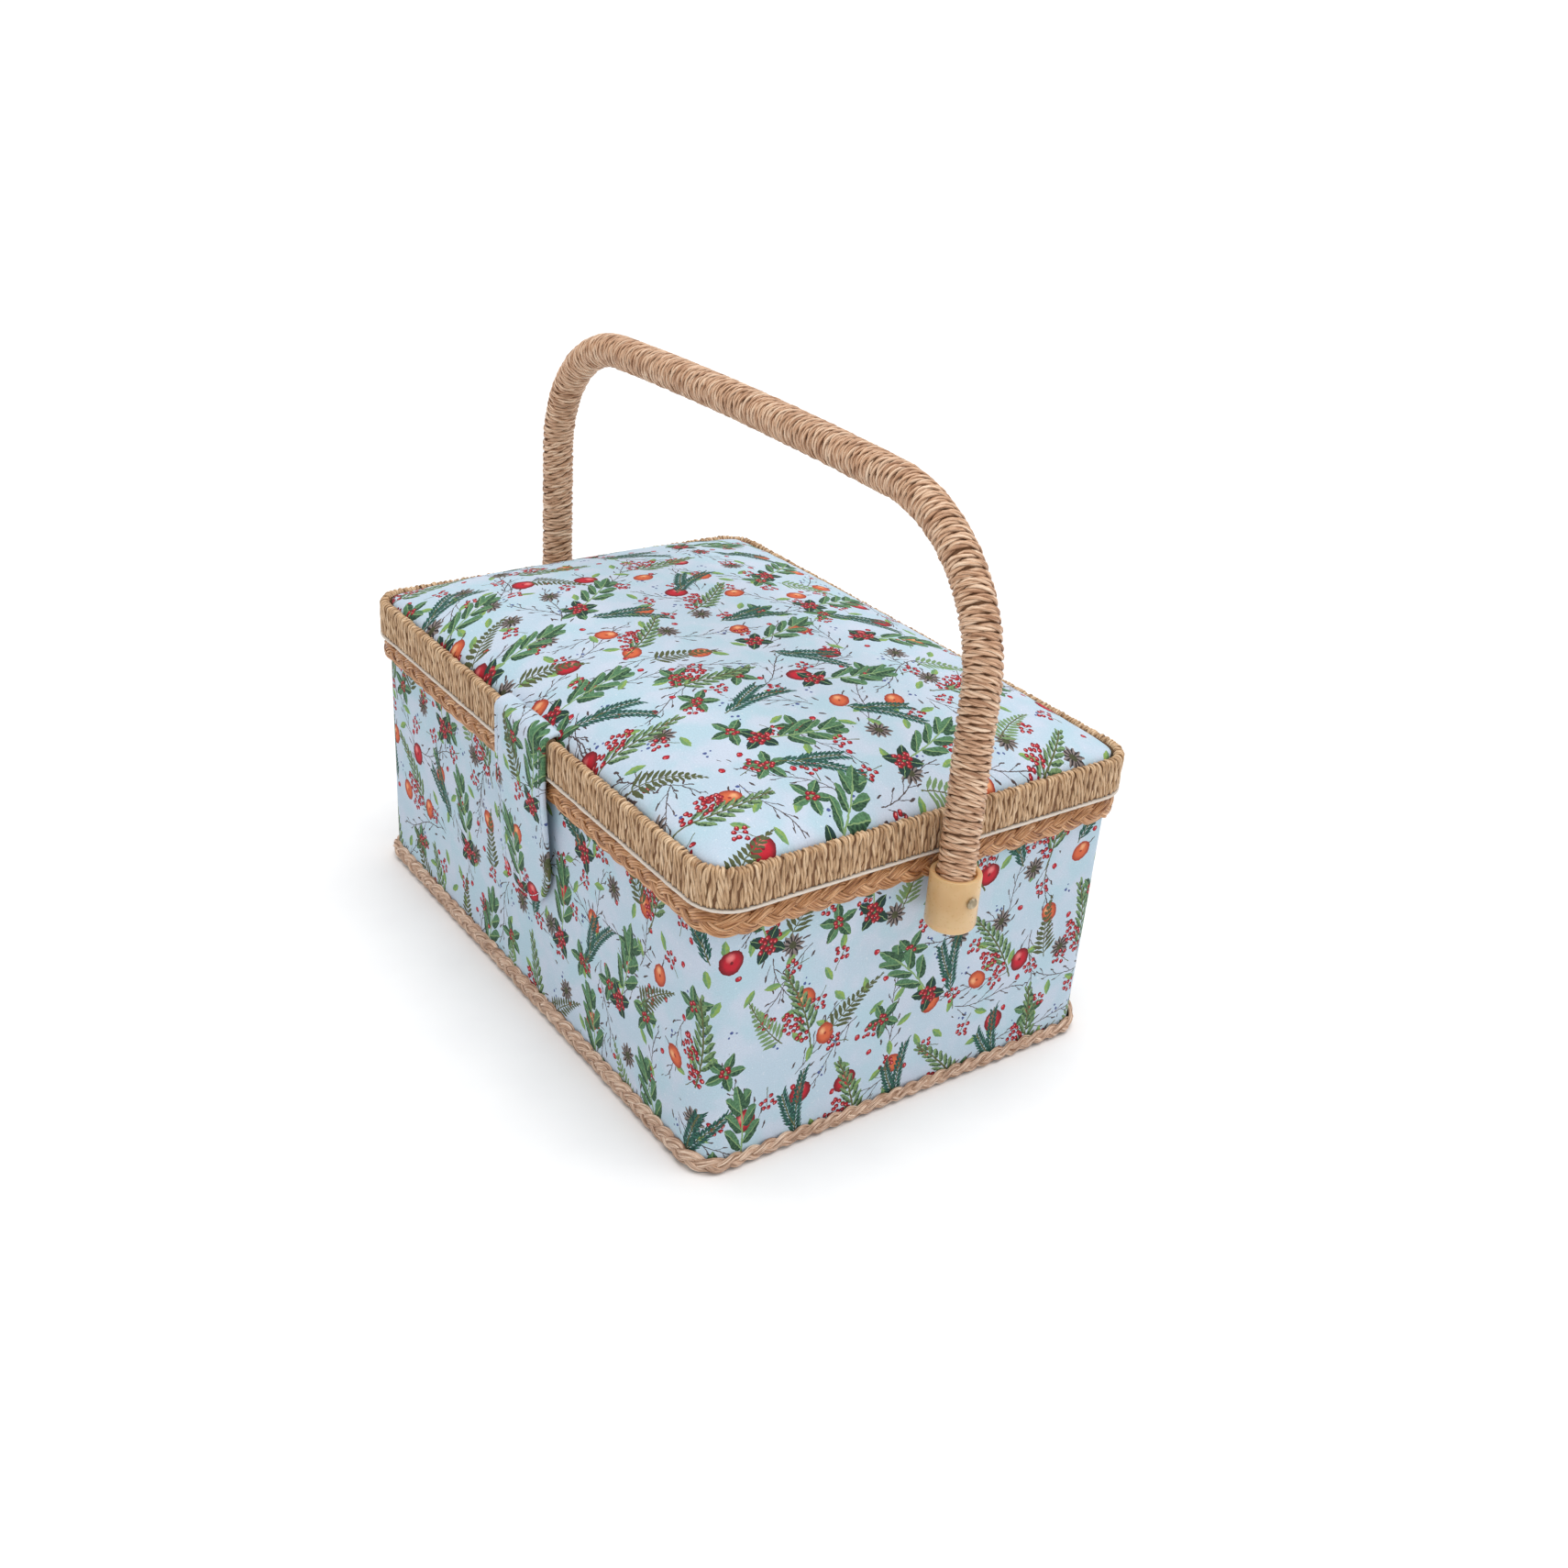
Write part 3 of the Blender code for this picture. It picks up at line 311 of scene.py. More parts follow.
class Finish:
    """A material under construction, with short ways to its nodes."""

    def __init__(self, name, **settings):
        self.material = bpy.data.materials.new(name)
        self.material.use_nodes = True
        self.tree = self.material.node_tree
        self.inputs = self.tree.nodes["Principled BSDF"].inputs
        for key, value in settings.items():
            self.inputs[key.replace("_", " ")].default_value = value

    def plug(self, item, socket):
        """Joins a value, a socket, a linear colour or a number to an input."""
        if isinstance(item, Value):
            item = item.socket
        if isinstance(item, bpy.types.NodeSocket):
            self.tree.links.new(item, socket)
        else:
            socket.default_value = (*item, 1.0) if isinstance(item, tuple) else item

    def outputs(self, kind, items=(), **settings):
        """The outputs of a new node whose inputs are given in order or by name."""
        made = self.tree.nodes.new("ShaderNode" + kind)
        for key, value in settings.items():
            setattr(made, key, value)
        for key, item in items.items() if isinstance(items, dict) else enumerate(items):
            self.plug(item, made.inputs[key])
        return made.outputs

    def value(self, kind, items=(), **settings):
        return Value(self, self.outputs(kind, items, **settings)[0])

    def parts(self, vector):
        return [Value(self, part) for part in self.outputs("SeparateXYZ", (vector,))]

    def position(self):
        return self.outputs("TexCoord")["Object"]

    def uv(self):
        """The cloth's own coordinates, in millimetres."""
        across, along, _ = self.parts(self.outputs("UVMap", uv_map="cloth")[0])
        return across * PER_MM, along * PER_MM

    def triple(self, x, y, z=0.0):
        return self.outputs("CombineXYZ", (x, y, z))[0]

    def noise(self, vector, scale, detail=2.0, roughness=0.5):
        items = {"Vector": vector, "Scale": scale, "Detail": detail, "Roughness": roughness}
        return self.value("TexNoise", items)

    def white(self, x, y, seed):
        """Three random numbers for each whole x and y."""
        made = self.outputs("TexWhiteNoise", {"Vector": self.triple(x, y, seed)}, noise_dimensions="3D")
        return self.parts(made["Color"])

    def mix(self, factor, low, high, blend="MIX"):
        return self.outputs("MixRGB", (factor, low, high), blend_type=blend)[0]

    def complete(self, colour, height, strength, distance, roughness=None):
        """Joins the colour, a bump of the height and the roughness to the shader. Returns the material."""
        self.plug(colour, self.inputs["Base Color"])
        bump = self.outputs("Bump", {"Strength": strength, "Distance": distance, "Height": height})
        self.plug(bump[0], self.inputs["Normal"])
        if roughness is not None:
            self.plug(roughness, self.inputs["Roughness"])
        return self.material


# The printed cotton

GROUND = linear(190, 210, 225)
GROUND_PALE = linear(206, 214, 230)
GROUND_GREEN = linear(184, 211, 224)
GROUND_FLECK = linear(232, 236, 243)
BLUE_GREEN = linear(12, 54, 54)
NEEDLE_GREEN = linear(48, 108, 90)
DARK_GREEN = linear(18, 56, 38)
LEAF_GREEN = linear(92, 140, 98)
LIGHT_GREEN = linear(134, 166, 112)
OLIVE = linear(94, 98, 58)
LIME = linear(148, 178, 82)
RED = linear(196, 20, 44)
DARK_RED = linear(116, 8, 24)
PALE_RED = linear(242, 138, 136)
ORANGE = linear(216, 104, 62)
DARK_ORANGE = linear(166, 58, 38)
PALE_ORANGE = linear(246, 184, 132)
BARK = linear(78, 64, 64)
SEED_DARK = linear(28, 22, 26)
SEED_PALE = linear(138, 126, 122)
BLUE_DOT = linear(74, 90, 146)
INK_SHADE = linear(150, 160, 168)

# Fields of motifs: cell, shift in cells, seed, range of turns and jitter
BIG_FIELD = (50.0, (0.13, 0.2), 3.0, (55, 125), 8.0)
BRANCH_FIELD = (50.0, (0.63, 0.2), 9.0, (50, 140), 7.0)
MIDDLE_FIELD = (25.0, (0.3, 0.55), 21.0, (-60, 60), 6.0)
BERRY_FIELD = (21.0, (0.05, 0.35), 33.0, (0, 360), 5.0)
SMALL_FIELD = (12.5, (0.4, 0.1), 41.0, (0, 360), 4.0)
TWIG_FIELDS = ((44.0, (0.4, 0.7), 51.0, (0, 360), 8.8), (37.0, (0.1, 0.2), 57.0, (0, 360), 7.4))

# Leaflets in pairs: length of the stem, spacing, angle, reach, half width, taper and, for some, lag. The
# twigs' shoots leave out the length, which each field sets
BROAD_LEAFLETS = (34.0, 8.6, 42, 15.0, 2.75, 0.45, 3.2)
NARROW_LEAFLETS = (36.0, 4.3, 38, 11.0, 1.25, 0.7, 2.0)
FROND_LEAFLETS = (31.0, 2.5, 58, 8.6, 0.85, 0.95)
TWIG_SHOOTS = (8.5, 32, 9.0, 0.3, 0.6, 4.0)

# Leaves: length and half width. Fruits: half sizes. Bunches: radius, spacing and size of a berry
TIP_LEAF = (14.0, 2.7)
FOOT_LEAF = (9.0, 2.6)
ROSETTE_LEAF = (9.5, 2.3)
LOOSE_LEAF = (8.4, 1.6)
RED_FRUIT = (4.9, 5.6)
HIP = (4.2, 5.2)
SMALL_FRUIT = (1.3, 1.5)
ASTER_RADIUS = 5.2
FOOT_BUNCH = (4.3, 2.3, 1.25)
WIDE_BUNCH = (5.6, 2.5, 1.15)
SIDE_BUNCH = (3.6, 2.5, 1.15)
ROSETTE_BUNCH = (3.0, 2.1, 1.1)
LOOSE_BUNCH = (4.4, 2.7, 1.1)
DOTS = ((0, 0, 0.75), (2.2, 1.0, 0.55), (-1.4, 2.1, 0.45))

PRINT_SCALE = 1.12
WOBBLE = 1.1
WOBBLE_SCALE = 0.55
WARP_PITCH = 0.42
WEFT_PITCH = 0.46


class Print(Finish):
    """Cotton with motifs scattered over its ground, in millimetres and degrees."""

    def __init__(self, name):
        super().__init__(name, Roughness=0.82)
        self.flat_u, self.flat_v = self.uv()
        u, v = self.flat_u * PRINT_SCALE, self.flat_v * PRINT_SCALE
        self.place = self.triple(u, v)
        self.u = u + self.noise(self.place, WOBBLE_SCALE) * WOBBLE
        self.v = v + self.noise(self.triple(v, self.u, 7.0), WOBBLE_SCALE) * WOBBLE
        self.wash = self.noise(self.place, 0.9, 3)
        clouds = self.noise(self.place, 0.06, 3).ramp(0.4, 0.66)
        tint = self.noise(self.place, 0.035).ramp(0.42, 0.6)
        flecks = self.noise(self.place, 0.5, 4, 0.75).ramp(0.6, 0.66)
        ground = self.mix(clouds * 0.75, self.mix(tint, GROUND, GROUND_GREEN), GROUND_PALE)
        self.coat = self.mix(flecks * 0.5, ground, GROUND_FLECK)

    def paint(self, mask, colour):
        self.coat = self.mix(mask, self.coat, colour)

    def scatter(self, cell, shift, seed, turn, jitter):
        """The place within each cell, turned and moved at random, with three more random numbers."""
        row = (self.v / cell + shift[1]).floor()
        odd = row - (row * 0.5).floor() * 2
        across = self.u / cell + shift[0] + odd * 0.5
        column = across.floor()
        spin, side, rise = self.white(column, row, seed)
        x = (across - column - 0.5) * cell - (side - 0.5) * jitter
        y = (self.v / cell + shift[1] - row - 0.5) * cell - (rise - 0.5) * jitter
        angle = spin * math.radians(turn[1] - turn[0]) + math.radians(turn[0])
        cosine, sine = angle.cos(), angle.sin()
        return x * cosine + y * sine, y * cosine - x * sine, self.white(column, row, seed + 0.5)

    def leaf(self, x, y, length, half_width):
        """The mask of a pointed leaf from the origin along x."""
        share = x / length
        return (abs(y) < share * (1 - share) * (4 * half_width)) & share.within(0.0, 1.0)

    def stem(self, x, y, length, half_width):
        return (abs(y) < half_width) & x.within(0.0, length)

    def two_tone(self, y, dark, light, vein=0.0):
        colour = self.mix((y > 0) * 0.5 + self.wash.ramp(0.35, 0.65) * 0.5, dark, light)
        return self.mix(abs(y) < vein, colour, LIGHT_GREEN) if vein else colour

    def paint_leaf(self, place, size, chance, dark=DARK_GREEN, light=LEAF_GREEN, vein=0.2):
        self.paint(self.leaf(*place, *size) & chance, self.two_tone(place[1], dark, light, vein))

    def pinnate(self, x, y, length, spacing, angle, reach, half_width, taper, lag=0.0):
        """Leaflets in pairs along a stem that runs from the origin along x.

        Returns the mask, the distance across a leaflet and the distance along it.
        """
        slope = math.tan(math.radians(angle))
        sine = math.sin(math.radians(angle))
        side = abs(y)
        foot = x - side / slope
        if lag:
            foot = foot + (y > 0) * lag
        index = (foot / spacing + 0.5).floor()
        across = (foot - index * spacing) * sine
        at = index * spacing / length
        long = (1 - at * taper) * reach
        along = side / sine / long
        width = along * (1 - along) * (4 * half_width)
        inside = (abs(across) < width) & along.within(0.0, 1.0) & at.within(0.02, 0.98)
        return inside, across, along

    def berries(self, x, y, radius, spacing, berry, chance):
        """Round berries whose centres lie within the radius of the origin."""
        across, up = x / spacing, y / spacing
        items = {"Vector": self.triple(across, up), "Scale": 1.0, "Randomness": 0.75}
        cells = self.outputs("TexVoronoi", items, voronoi_dimensions="2D")
        centre_x, centre_y, _ = self.parts(cells["Position"])
        distance = Value(self, cells["Distance"])
        near = (centre_x * centre_x + centre_y * centre_y).root() < radius / spacing
        mask = (distance < berry / spacing) & near & chance
        self.paint(mask, self.mix(distance.ramp(0.0, berry / spacing), RED, DARK_RED))
        self.paint(mask & (span(across - centre_x + 0.12, up - centre_y - 0.12) < 0.13), PALE_RED)

    def round_fruit(self, x, y, half_x, half_y, chance, base=RED, dark=DARK_RED, pale=PALE_RED):
        across, up = x / half_x, y / half_y
        distance = span(across, up)
        mask = (distance < 1.0) & chance
        shade = self.mix(distance.ramp(0.45, 1.0), base, dark)
        self.paint(mask, self.mix(span(across + 0.3, up - 0.3).ramp(0.05, 0.5, 0.85, 0.0), shade, pale))
        self.paint(mask & (distance < 0.13), dark)

    def aster(self, x, y, radius, chance):
        """A dark flower of narrow petals round an eye."""
        distance = (x * x + y * y * 0.75).root()
        angle = y.angle_from(x) * 11
        mask = (distance < (angle.cos() * 0.16 + 0.84) * radius) & chance
        inner = (angle + 1.6).cos() + distance * 0.25
        self.paint(mask, self.mix(inner.ramp(-0.2, 1.4), SEED_DARK, SEED_PALE))
        self.paint((distance < 0.3 * radius) & chance, self.mix(self.wash, SEED_DARK, OLIVE))

    def rosette(self, x, y, chance):
        """Five smooth leaves round a bunch of berries."""
        for number in range(5):
            self.paint_leaf(turned(x, y, 72 * (number + 0.15)), ROSETTE_LEAF, chance, vein=0.18)
        self.berries(x, y, *ROSETTE_BUNCH, chance)

    def twigs(self, field):
        x, y, pick = self.scatter(*field)
        cell = field[0]
        bend = y - (x * 0.13).sin() * 2.4
        start = x + cell * 0.46
        long = cell * 0.9
        _, across, along = self.pinnate(start, bend, long, *TWIG_SHOOTS)
        shoots = (abs(across) < 0.16) & along.within(0.0, 0.9) & start.within(2.0, cell * 0.95)
        buds = (across / 0.55).square() + ((along - 0.9) * 7.0).square() < 1.0
        self.paint((self.stem(start, bend, long, 0.22) | shoots | buds) & (pick[0] > 0.35), BARK)

    def big_sprigs(self):
        """Broad leaves in pairs with berries at the foot, and narrow sprays of leaves and berries."""
        x, y, pick = self.scatter(*BIG_FIELD)
        x = x + 23.0
        y = y - x * x * 0.006 + 1.6
        broad = pick[0] > 0.5
        narrow = pick[0] < 0.5
        mask, across, _ = self.pinnate(x - 10, y, *BROAD_LEAFLETS)
        self.paint(mask & broad, self.two_tone(across, DARK_GREEN, LEAF_GREEN, 0.2))
        self.paint_leaf((x - 33, y), TIP_LEAF, broad)
        self.paint(self.stem(x - 5, y, 32.0, 0.4) & broad, LIGHT_GREEN)
        for turn in (50, -40, 140, -130):
            self.paint_leaf(turned(x - 7, y, turn), FOOT_LEAF, broad, BLUE_GREEN, DARK_GREEN, 0.15)
        self.berries(x - 7, y, *FOOT_BUNCH, broad)
        mask, across, _ = self.pinnate(x - 6, y, *NARROW_LEAFLETS)
        self.paint(mask & narrow, self.two_tone(across, DARK_GREEN, LIGHT_GREEN))
        self.paint(self.stem(x, y, 42.0, 0.4) & narrow, OLIVE)
        self.berries(x - 17, y - 6.5, *WIDE_BUNCH, narrow)
        self.berries(x - 8, y - 3, *SIDE_BUNCH, narrow)

    def branches(self):
        """Narrow-leaved herb sprigs and feathered fronds."""
        x, y, pick = self.scatter(*BRANCH_FIELD)
        x = x + 17.0
        y = y + x * x * 0.007 - 2.0
        needled = pick[0] > 0.45
        ferny = pick[0] < 0.45
        reach = 5.4 + self.noise(self.place, 0.8, 1) * 3.5 * 0.5
        for lean, start, long in ((0, 0, 34.0), (24, 7, 22.0)):
            place = turned(x - start, y, lean)
            mask = self.pinnate(*place, long, 2.1, 34, reach, half_width=0.62, taper=0.3, lag=1.0)[0]
            self.paint(mask & needled, self.mix(self.wash.ramp(0.35, 0.65), BLUE_GREEN, NEEDLE_GREEN))
            self.paint(self.stem(*place, long, 0.3) & needled, OLIVE)
        mask = self.pinnate(x, y, *FROND_LEAFLETS)[0]
        shade = self.mix(pick[1] > 0.5, OLIVE, LIGHT_GREEN)
        self.paint(mask & ferny, self.mix(self.wash * 0.5, shade, DARK_GREEN))
        self.paint(self.stem(x, y, 30.0, 0.28) & ferny, OLIVE)

    def middle(self):
        """Dark asters, round fruits, rosettes of leaves and loose berries."""
        x, y, pick = self.scatter(*MIDDLE_FIELD)
        self.aster(x, y, ASTER_RADIUS, pick[0] < 0.22)
        self.round_fruit(x, y, *RED_FRUIT, pick[0].within(0.22, 0.42))
        hip = pick[0].within(0.42, 0.62)
        self.paint(self.stem(y - 3.5, x, 5.5, 0.3) & hip, BARK)
        self.round_fruit(x, y, *HIP, hip, ORANGE, DARK_ORANGE, PALE_ORANGE)
        self.rosette(x, y, pick[0].within(0.62, 0.8))
        x, y, pick = self.scatter(*BERRY_FIELD)
        loose = pick[0] < 0.5
        self.paint(self.stem(x + 1, y - x * 0.3, 9.0, 0.2) & loose, OLIVE)
        self.berries(x, y, *LOOSE_BUNCH, loose)

    def small(self):
        """Loose leaves, single berries and dots."""
        x, y, pick = self.scatter(*SMALL_FIELD)
        self.paint_leaf((x + 4.2, y), LOOSE_LEAF, pick[0] < 0.3, LEAF_GREEN, LIME, 0.12)
        self.round_fruit(x, y, *SMALL_FRUIT, pick[0].within(0.3, 0.46))
        dotted = pick[0].within(0.46, 0.66)
        for place_x, place_y, size in DOTS:
            self.paint((span(x - place_x, y - place_y) < size) & dotted, BLUE_DOT)


def printed_cotton(name):
    made = Print(name)
    for field in TWIG_FIELDS:
        made.twigs(field)
    made.small()
    made.middle()
    made.branches()
    made.big_sprigs()
    ink = made.noise(made.place, 1.6, 4, 0.7).ramp(0.3, 0.7)
    colour = made.mix(ink * 0.2, made.coat, INK_SHADE, "MULTIPLY")
    warp = (made.flat_u * (2 * math.pi / WARP_PITCH)).sin()
    weft = (made.flat_v * (2 * math.pi / WEFT_PITCH)).sin()
    slub = made.noise(made.place, 3.0)
    return made.complete(colour, warp * weft * 0.5 + slub, 0.35, 0.12 * MM, slub.ramp(0.2, 0.8, 0.74, 0.9))


# Other finishes, whose colours are display colours from 0 to 255

def raffia(name, dark, middle, light, half_width, shine=0.36):
    """Glossy plant strands. Cloth coordinates run along and across each strand, whose sides are darkened with
    painted shade.
    """
    made = Finish(name, Roughness=shine, Specular_IOR_Level=0.6)
    u, v = made.uv()
    island = Value(made, made.outputs("NewGeometry")["Random Per Island"])
    drift = made.noise(made.triple(u * 0.11, v * 0.25, island * 40), 1.0, 3).ramp(0.35, 0.65)
    fibre = made.noise(made.triple(u * 0.16, v * 4.2, island * 90), 1.0, 3, 0.62)
    fleck = made.noise(made.triple(u * 0.5, v * 2.0, island * 60 + 9), 1.0).ramp(0.6, 0.72)
    tone = fibre.ramp(0.36, 0.64) * 0.46 + drift * 0.3 + island * 0.24
    dark, middle, light = linear(*dark), linear(*middle), linear(*light)
    colour = made.mix(tone.ramp(0.48, 0.86), made.mix(tone.ramp(0.12, 0.5), dark, middle), light)
    # Painted shade: each strand's sides darken towards a colour below its darkest tone, standing in for the
    # shade between neighbouring strands
    side = (abs(v) / half_width).ramp(0.5, 1.0) * 0.5
    colour = made.mix(side, made.mix(fleck * 0.35, colour, dark), tuple(channel * 0.4 for channel in dark))
    return made.complete(colour, fibre, 0.7, 0.3 * MM, fibre.ramp(0.3, 0.7, shine + 0.16, shine - 0.06))


def plain_cloth(name, colour, pale, pitch=0.5, fuzz=0.4):
    """Plain woven cloth by the piece's own position, in millimetres."""
    made = Finish(name, Roughness=0.88)
    x, y, z = (part * PER_MM for part in made.parts(made.position()))
    place = made.triple(x, y, z)
    weave = ((x + z) * (2 * math.pi / pitch)).sin() * ((y + z * 0.7) * (2 * math.pi / pitch)).sin()
    fine = made.noise(place, 2.5, 3)
    shade = made.mix(made.noise(place, 0.08, 3) * 0.5 + fine * fuzz, linear(*colour), linear(*pale))
    return made.complete(shade, weave * 0.4 + fine, 0.4, 0.2 * MM)


def moulded(name, colour, pale, roughness, **settings):
    made = Finish(name, Roughness=roughness, **settings)
    broad = made.noise(made.position(), 60, 3)
    shine = made.noise(made.position(), 900).ramp(0.2, 0.8, roughness - 0.04, roughness + 0.04)
    shade = made.mix(broad.ramp(0.3, 0.7), linear(*colour), linear(*pale))
    return made.complete(shade, broad, 0.1, 0.2 * MM, shine)


def fibreboard(name, dark, pale):
    made = Finish(name, Roughness=0.92)
    grain = made.noise(made.position(), 700, 4, 0.7)
    return made.complete(made.mix(grain, linear(*dark), linear(*pale)), grain, 0.5, 0.3 * MM)


def metal(name, colour, dark, roughness):
    made = Finish(name, Roughness=roughness, Metallic=1.0)
    stain = made.noise(made.position(), 260, 3).ramp(0.35, 0.7)
    fine = made.noise(made.position(), 2600)
    shine = fine.ramp(0.2, 0.8, roughness - 0.08, roughness + 0.14)
    return made.complete(made.mix(stain, linear(*colour), linear(*dark)), fine, 0.1, 0.1 * MM, shine)


# Geometry helpers

class Strip:
    """Collects faces with cloth coordinates and makes one piece of them."""

    def __init__(self):
        self.points = []
        self.faces = []
        self.marks = []

    def grid(self, rows, marks, closed_rows=False, closed_columns=False):
        """Rows of points with a (u, v) for each. Closed ends join the last to the first."""
        base = len(self.points)
        count, width = len(rows), len(rows[0])
        for row in rows:
            self.points.extend(row)
        for index in range(count if closed_rows else count - 1):
            low = base + index * width
            high = base + (index + 1) % count * width
            nearer, further = marks[index], marks[(index + 1) % count]
            if index == count - 1:
                step = nearer[0][0] - marks[index - 1][0][0]
                further = [(u + step, v) for u, v in nearer]
            for column in range(width if closed_columns else width - 1):
                after = (column + 1) % width
                self.faces.append((low + column, low + after, high + after, high + column))
                ends = [line[after] if after else (line[column][0], line[column][1] + 1e-4)
                        for line in (nearer, further)]
                self.marks.append((nearer[column], *ends, further[column]))

    def drum(self, rows, marks):
        """Closed rings with a face at each end."""
        base = len(self.points)
        self.grid(rows, marks, closed_columns=True)
        for start in (base, len(self.points) - len(rows[0])):
            self.faces.append(tuple(range(start, start + len(rows[0]))))
            self.marks.append(((0.0, 0.0),) * len(rows[0]))

    def tube(self, track, section, closed=False, start=0.0):
        """Sweeps a section of (across, out) shares along a track of (centre, outward, width, thickness)."""
        rows, marks = [], []
        run = start
        count = len(track)
        for index, (centre, outward, width, thickness) in enumerate(track):
            before = track[index - 1][0] if closed or index else centre
            after = track[(index + 1) % count][0] if closed or index + 1 < count else centre
            along = (after - before).normalized()
            out = (outward - along * outward.dot(along)).normalized()
            across = along.cross(out)
            rows.append([centre + across * (a * width) + out * (b * thickness) for a, b in section])
            if index:
                run += (centre - before).length
            marks.append([(run, a * width) for a, _ in section])
        if closed:
            self.grid(rows, marks, closed_rows=True, closed_columns=True)
        else:
            self.drum(rows, marks)

    def piece(self, name, material, body, slot, *replaced, merge=0.0):
        """Makes the piece, which rides on a body and stands for the replaced nodes. The slot is not used."""
        mesh = bpy.data.meshes.new(name)
        mesh.from_pydata([tuple(point) for point in self.points], [], self.faces)
        flat = [number for face in self.marks for mark in face for number in mark]
        mesh.uv_layers.new(name="cloth").data.foreach_set("uv", flat)
        work = bmesh.new()
        work.from_mesh(mesh)
        if merge:
            bmesh.ops.remove_doubles(work, verts=work.verts, dist=merge)
        bmesh.ops.recalc_face_normals(work, faces=work.faces)
        work.to_mesh(mesh)
        work.free()
        mesh.materials.append(material)
        mesh.shade_smooth()
        mesh.set_sharp_from_angle(angle=SHARP_ANGLE)
        made = link(name, mesh)
        if body:
            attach(made, body)
        if replaced:
            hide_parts(*replaced)
        return made


def link(name, data):
    made = bpy.data.objects.new(name, data)
    bpy.context.scene.collection.objects.link(made)
    return made


class Outline:
    """The rounded rectangle of the walls, moved outward. Runs by arc length from the back left corner."""

    def __init__(self, offset):
        self.radius = CORNER_RADIUS + offset
        self.inner_x = WALL_HIGH.x + offset - self.radius
        self.inner_y = WALL_HIGH.y + offset - self.radius
        arc = math.pi / 2 * self.radius
        self.runs = [arc, 2 * self.inner_y, arc, 2 * self.inner_x] * 2
        self.length = sum(self.runs)

    def at(self, distance):
        """The point and the outward normal at a distance along the outline."""
        distance %= self.length
        for index, run in enumerate(self.runs):
            if distance <= run or index == 7:
                break
            distance -= run
        quarter = index // 2
        side_x, side_y = ((-1, 1), (-1, -1), (1, -1), (1, 1))[quarter]
        turn = math.pi / 2 * (quarter + 1 + (distance / run if index % 2 == 0 else 1))
        normal = Vector((math.cos(turn), math.sin(turn), 0))
        point = Vector((side_x * self.inner_x, side_y * self.inner_y, 0)) + normal * self.radius
        if index % 2:
            point += UP.cross(normal) * distance
        return point, normal

    def adapted(self, straight, steps):
        """Distances with even steps on the straight runs and a number of steps in each corner."""
        found = []
        start = 0.0
        for index, run in enumerate(self.runs):
            parts = steps if index % 2 == 0 else max(1, round(run / straight))
            found += [start + run * part / parts for part in range(parts)]
            start += run
        return found

    def wrapped(self, stations, shell, relief=None):
        """Points and cloth coordinates of a shell of (inset, height) rows, moved out by the relief."""
        rows = []
        for inset, height in shell:
            row = []
            for station in stations:
                point, normal = self.at(station)
                out = relief(station, height) if relief else 0.0
                row.append(point + normal * (out - inset) + UP * height)
            rows.append(row)
        return rows, [[(station, height) for station in stations] for _, height in shell]


def ripple(x, y=0.0, z=0.0):
    """Smooth noise from -1 to 1. Lengths come multiplied by their waves per metre."""
    return noise.noise(Vector((x, y, z)))


def round_section(points):
    """A closed outline of unit width."""
    turns = [2 * math.pi * (step + 0.5) / points for step in range(points)]
    return [(0.5 * math.cos(turn), 0.5 * math.sin(turn)) for turn in turns]


# Walls, plaits and rim

def make_walls(cotton):
    base = Outline(0.0)
    stations = base.adapted(WALL_STEP, WALL_CORNER_STEPS) + [base.length]
    heights = [WALL_LOW.z + (WALL_HIGH.z - WALL_LOW.z) * step / WALL_ROWS for step in range(WALL_ROWS + 1)]
    shell = [(0.0, height) for height in heights]
    shell += [(CLOTH_THICKNESS, height) for height in reversed(heights)]

    def wave(station, height):
        return WALL_WAVE * ripple(station * 25, height * 30) - WALL_WAVE

    rows, marks = base.wrapped(stations, shell, wave)
    strip = Strip()
    strip.grid([*rows, rows[0]], [*marks, marks[0]])
    strip.piece("wall_cotton", cotton, "basket", "printed_cotton", "wall_fabric", merge=WALL_WELD)


def braid_bundle(base, number, period, height, depth, bottom, narrow):
    """Where one of a plait's bundles runs: its middle, outward, station and share of the height.

    Along the ends of the box the plait has only the narrow share of its height.
    """
    count = round(base.length / period) * BRAID_STATIONS
    found = []
    for index in range(count):
        station = base.length * index / count
        phase = 2 * math.pi * (index / BRAID_STATIONS + number / BUNDLES)
        wander = ripple(station * 55, number * 9.1)
        point, normal = base.at(station)
        share = 1 - (1 - narrow + 0.1 * ripple(station * 14, 3.3)) * normal.x ** 2 * (narrow < 1)
        rise = BRAID_SWING_SHARE * share * height * math.sin(phase) * (1 + 0.16 * wander)
        out = depth * (BRAID_OUT_SHARE + BRAID_WEAVE_SHARE * math.sin(2 * phase + BRAID_LEAN) + 0.06 * wander)
        level = bottom + share * height / 2 + rise + BRAID_SAG * ripple(station * 18)
        outward = normal + UP * (BRAID_ROLL * math.sin(phase))
        found.append((point + normal * out + UP * level, outward, station, share))
    return found


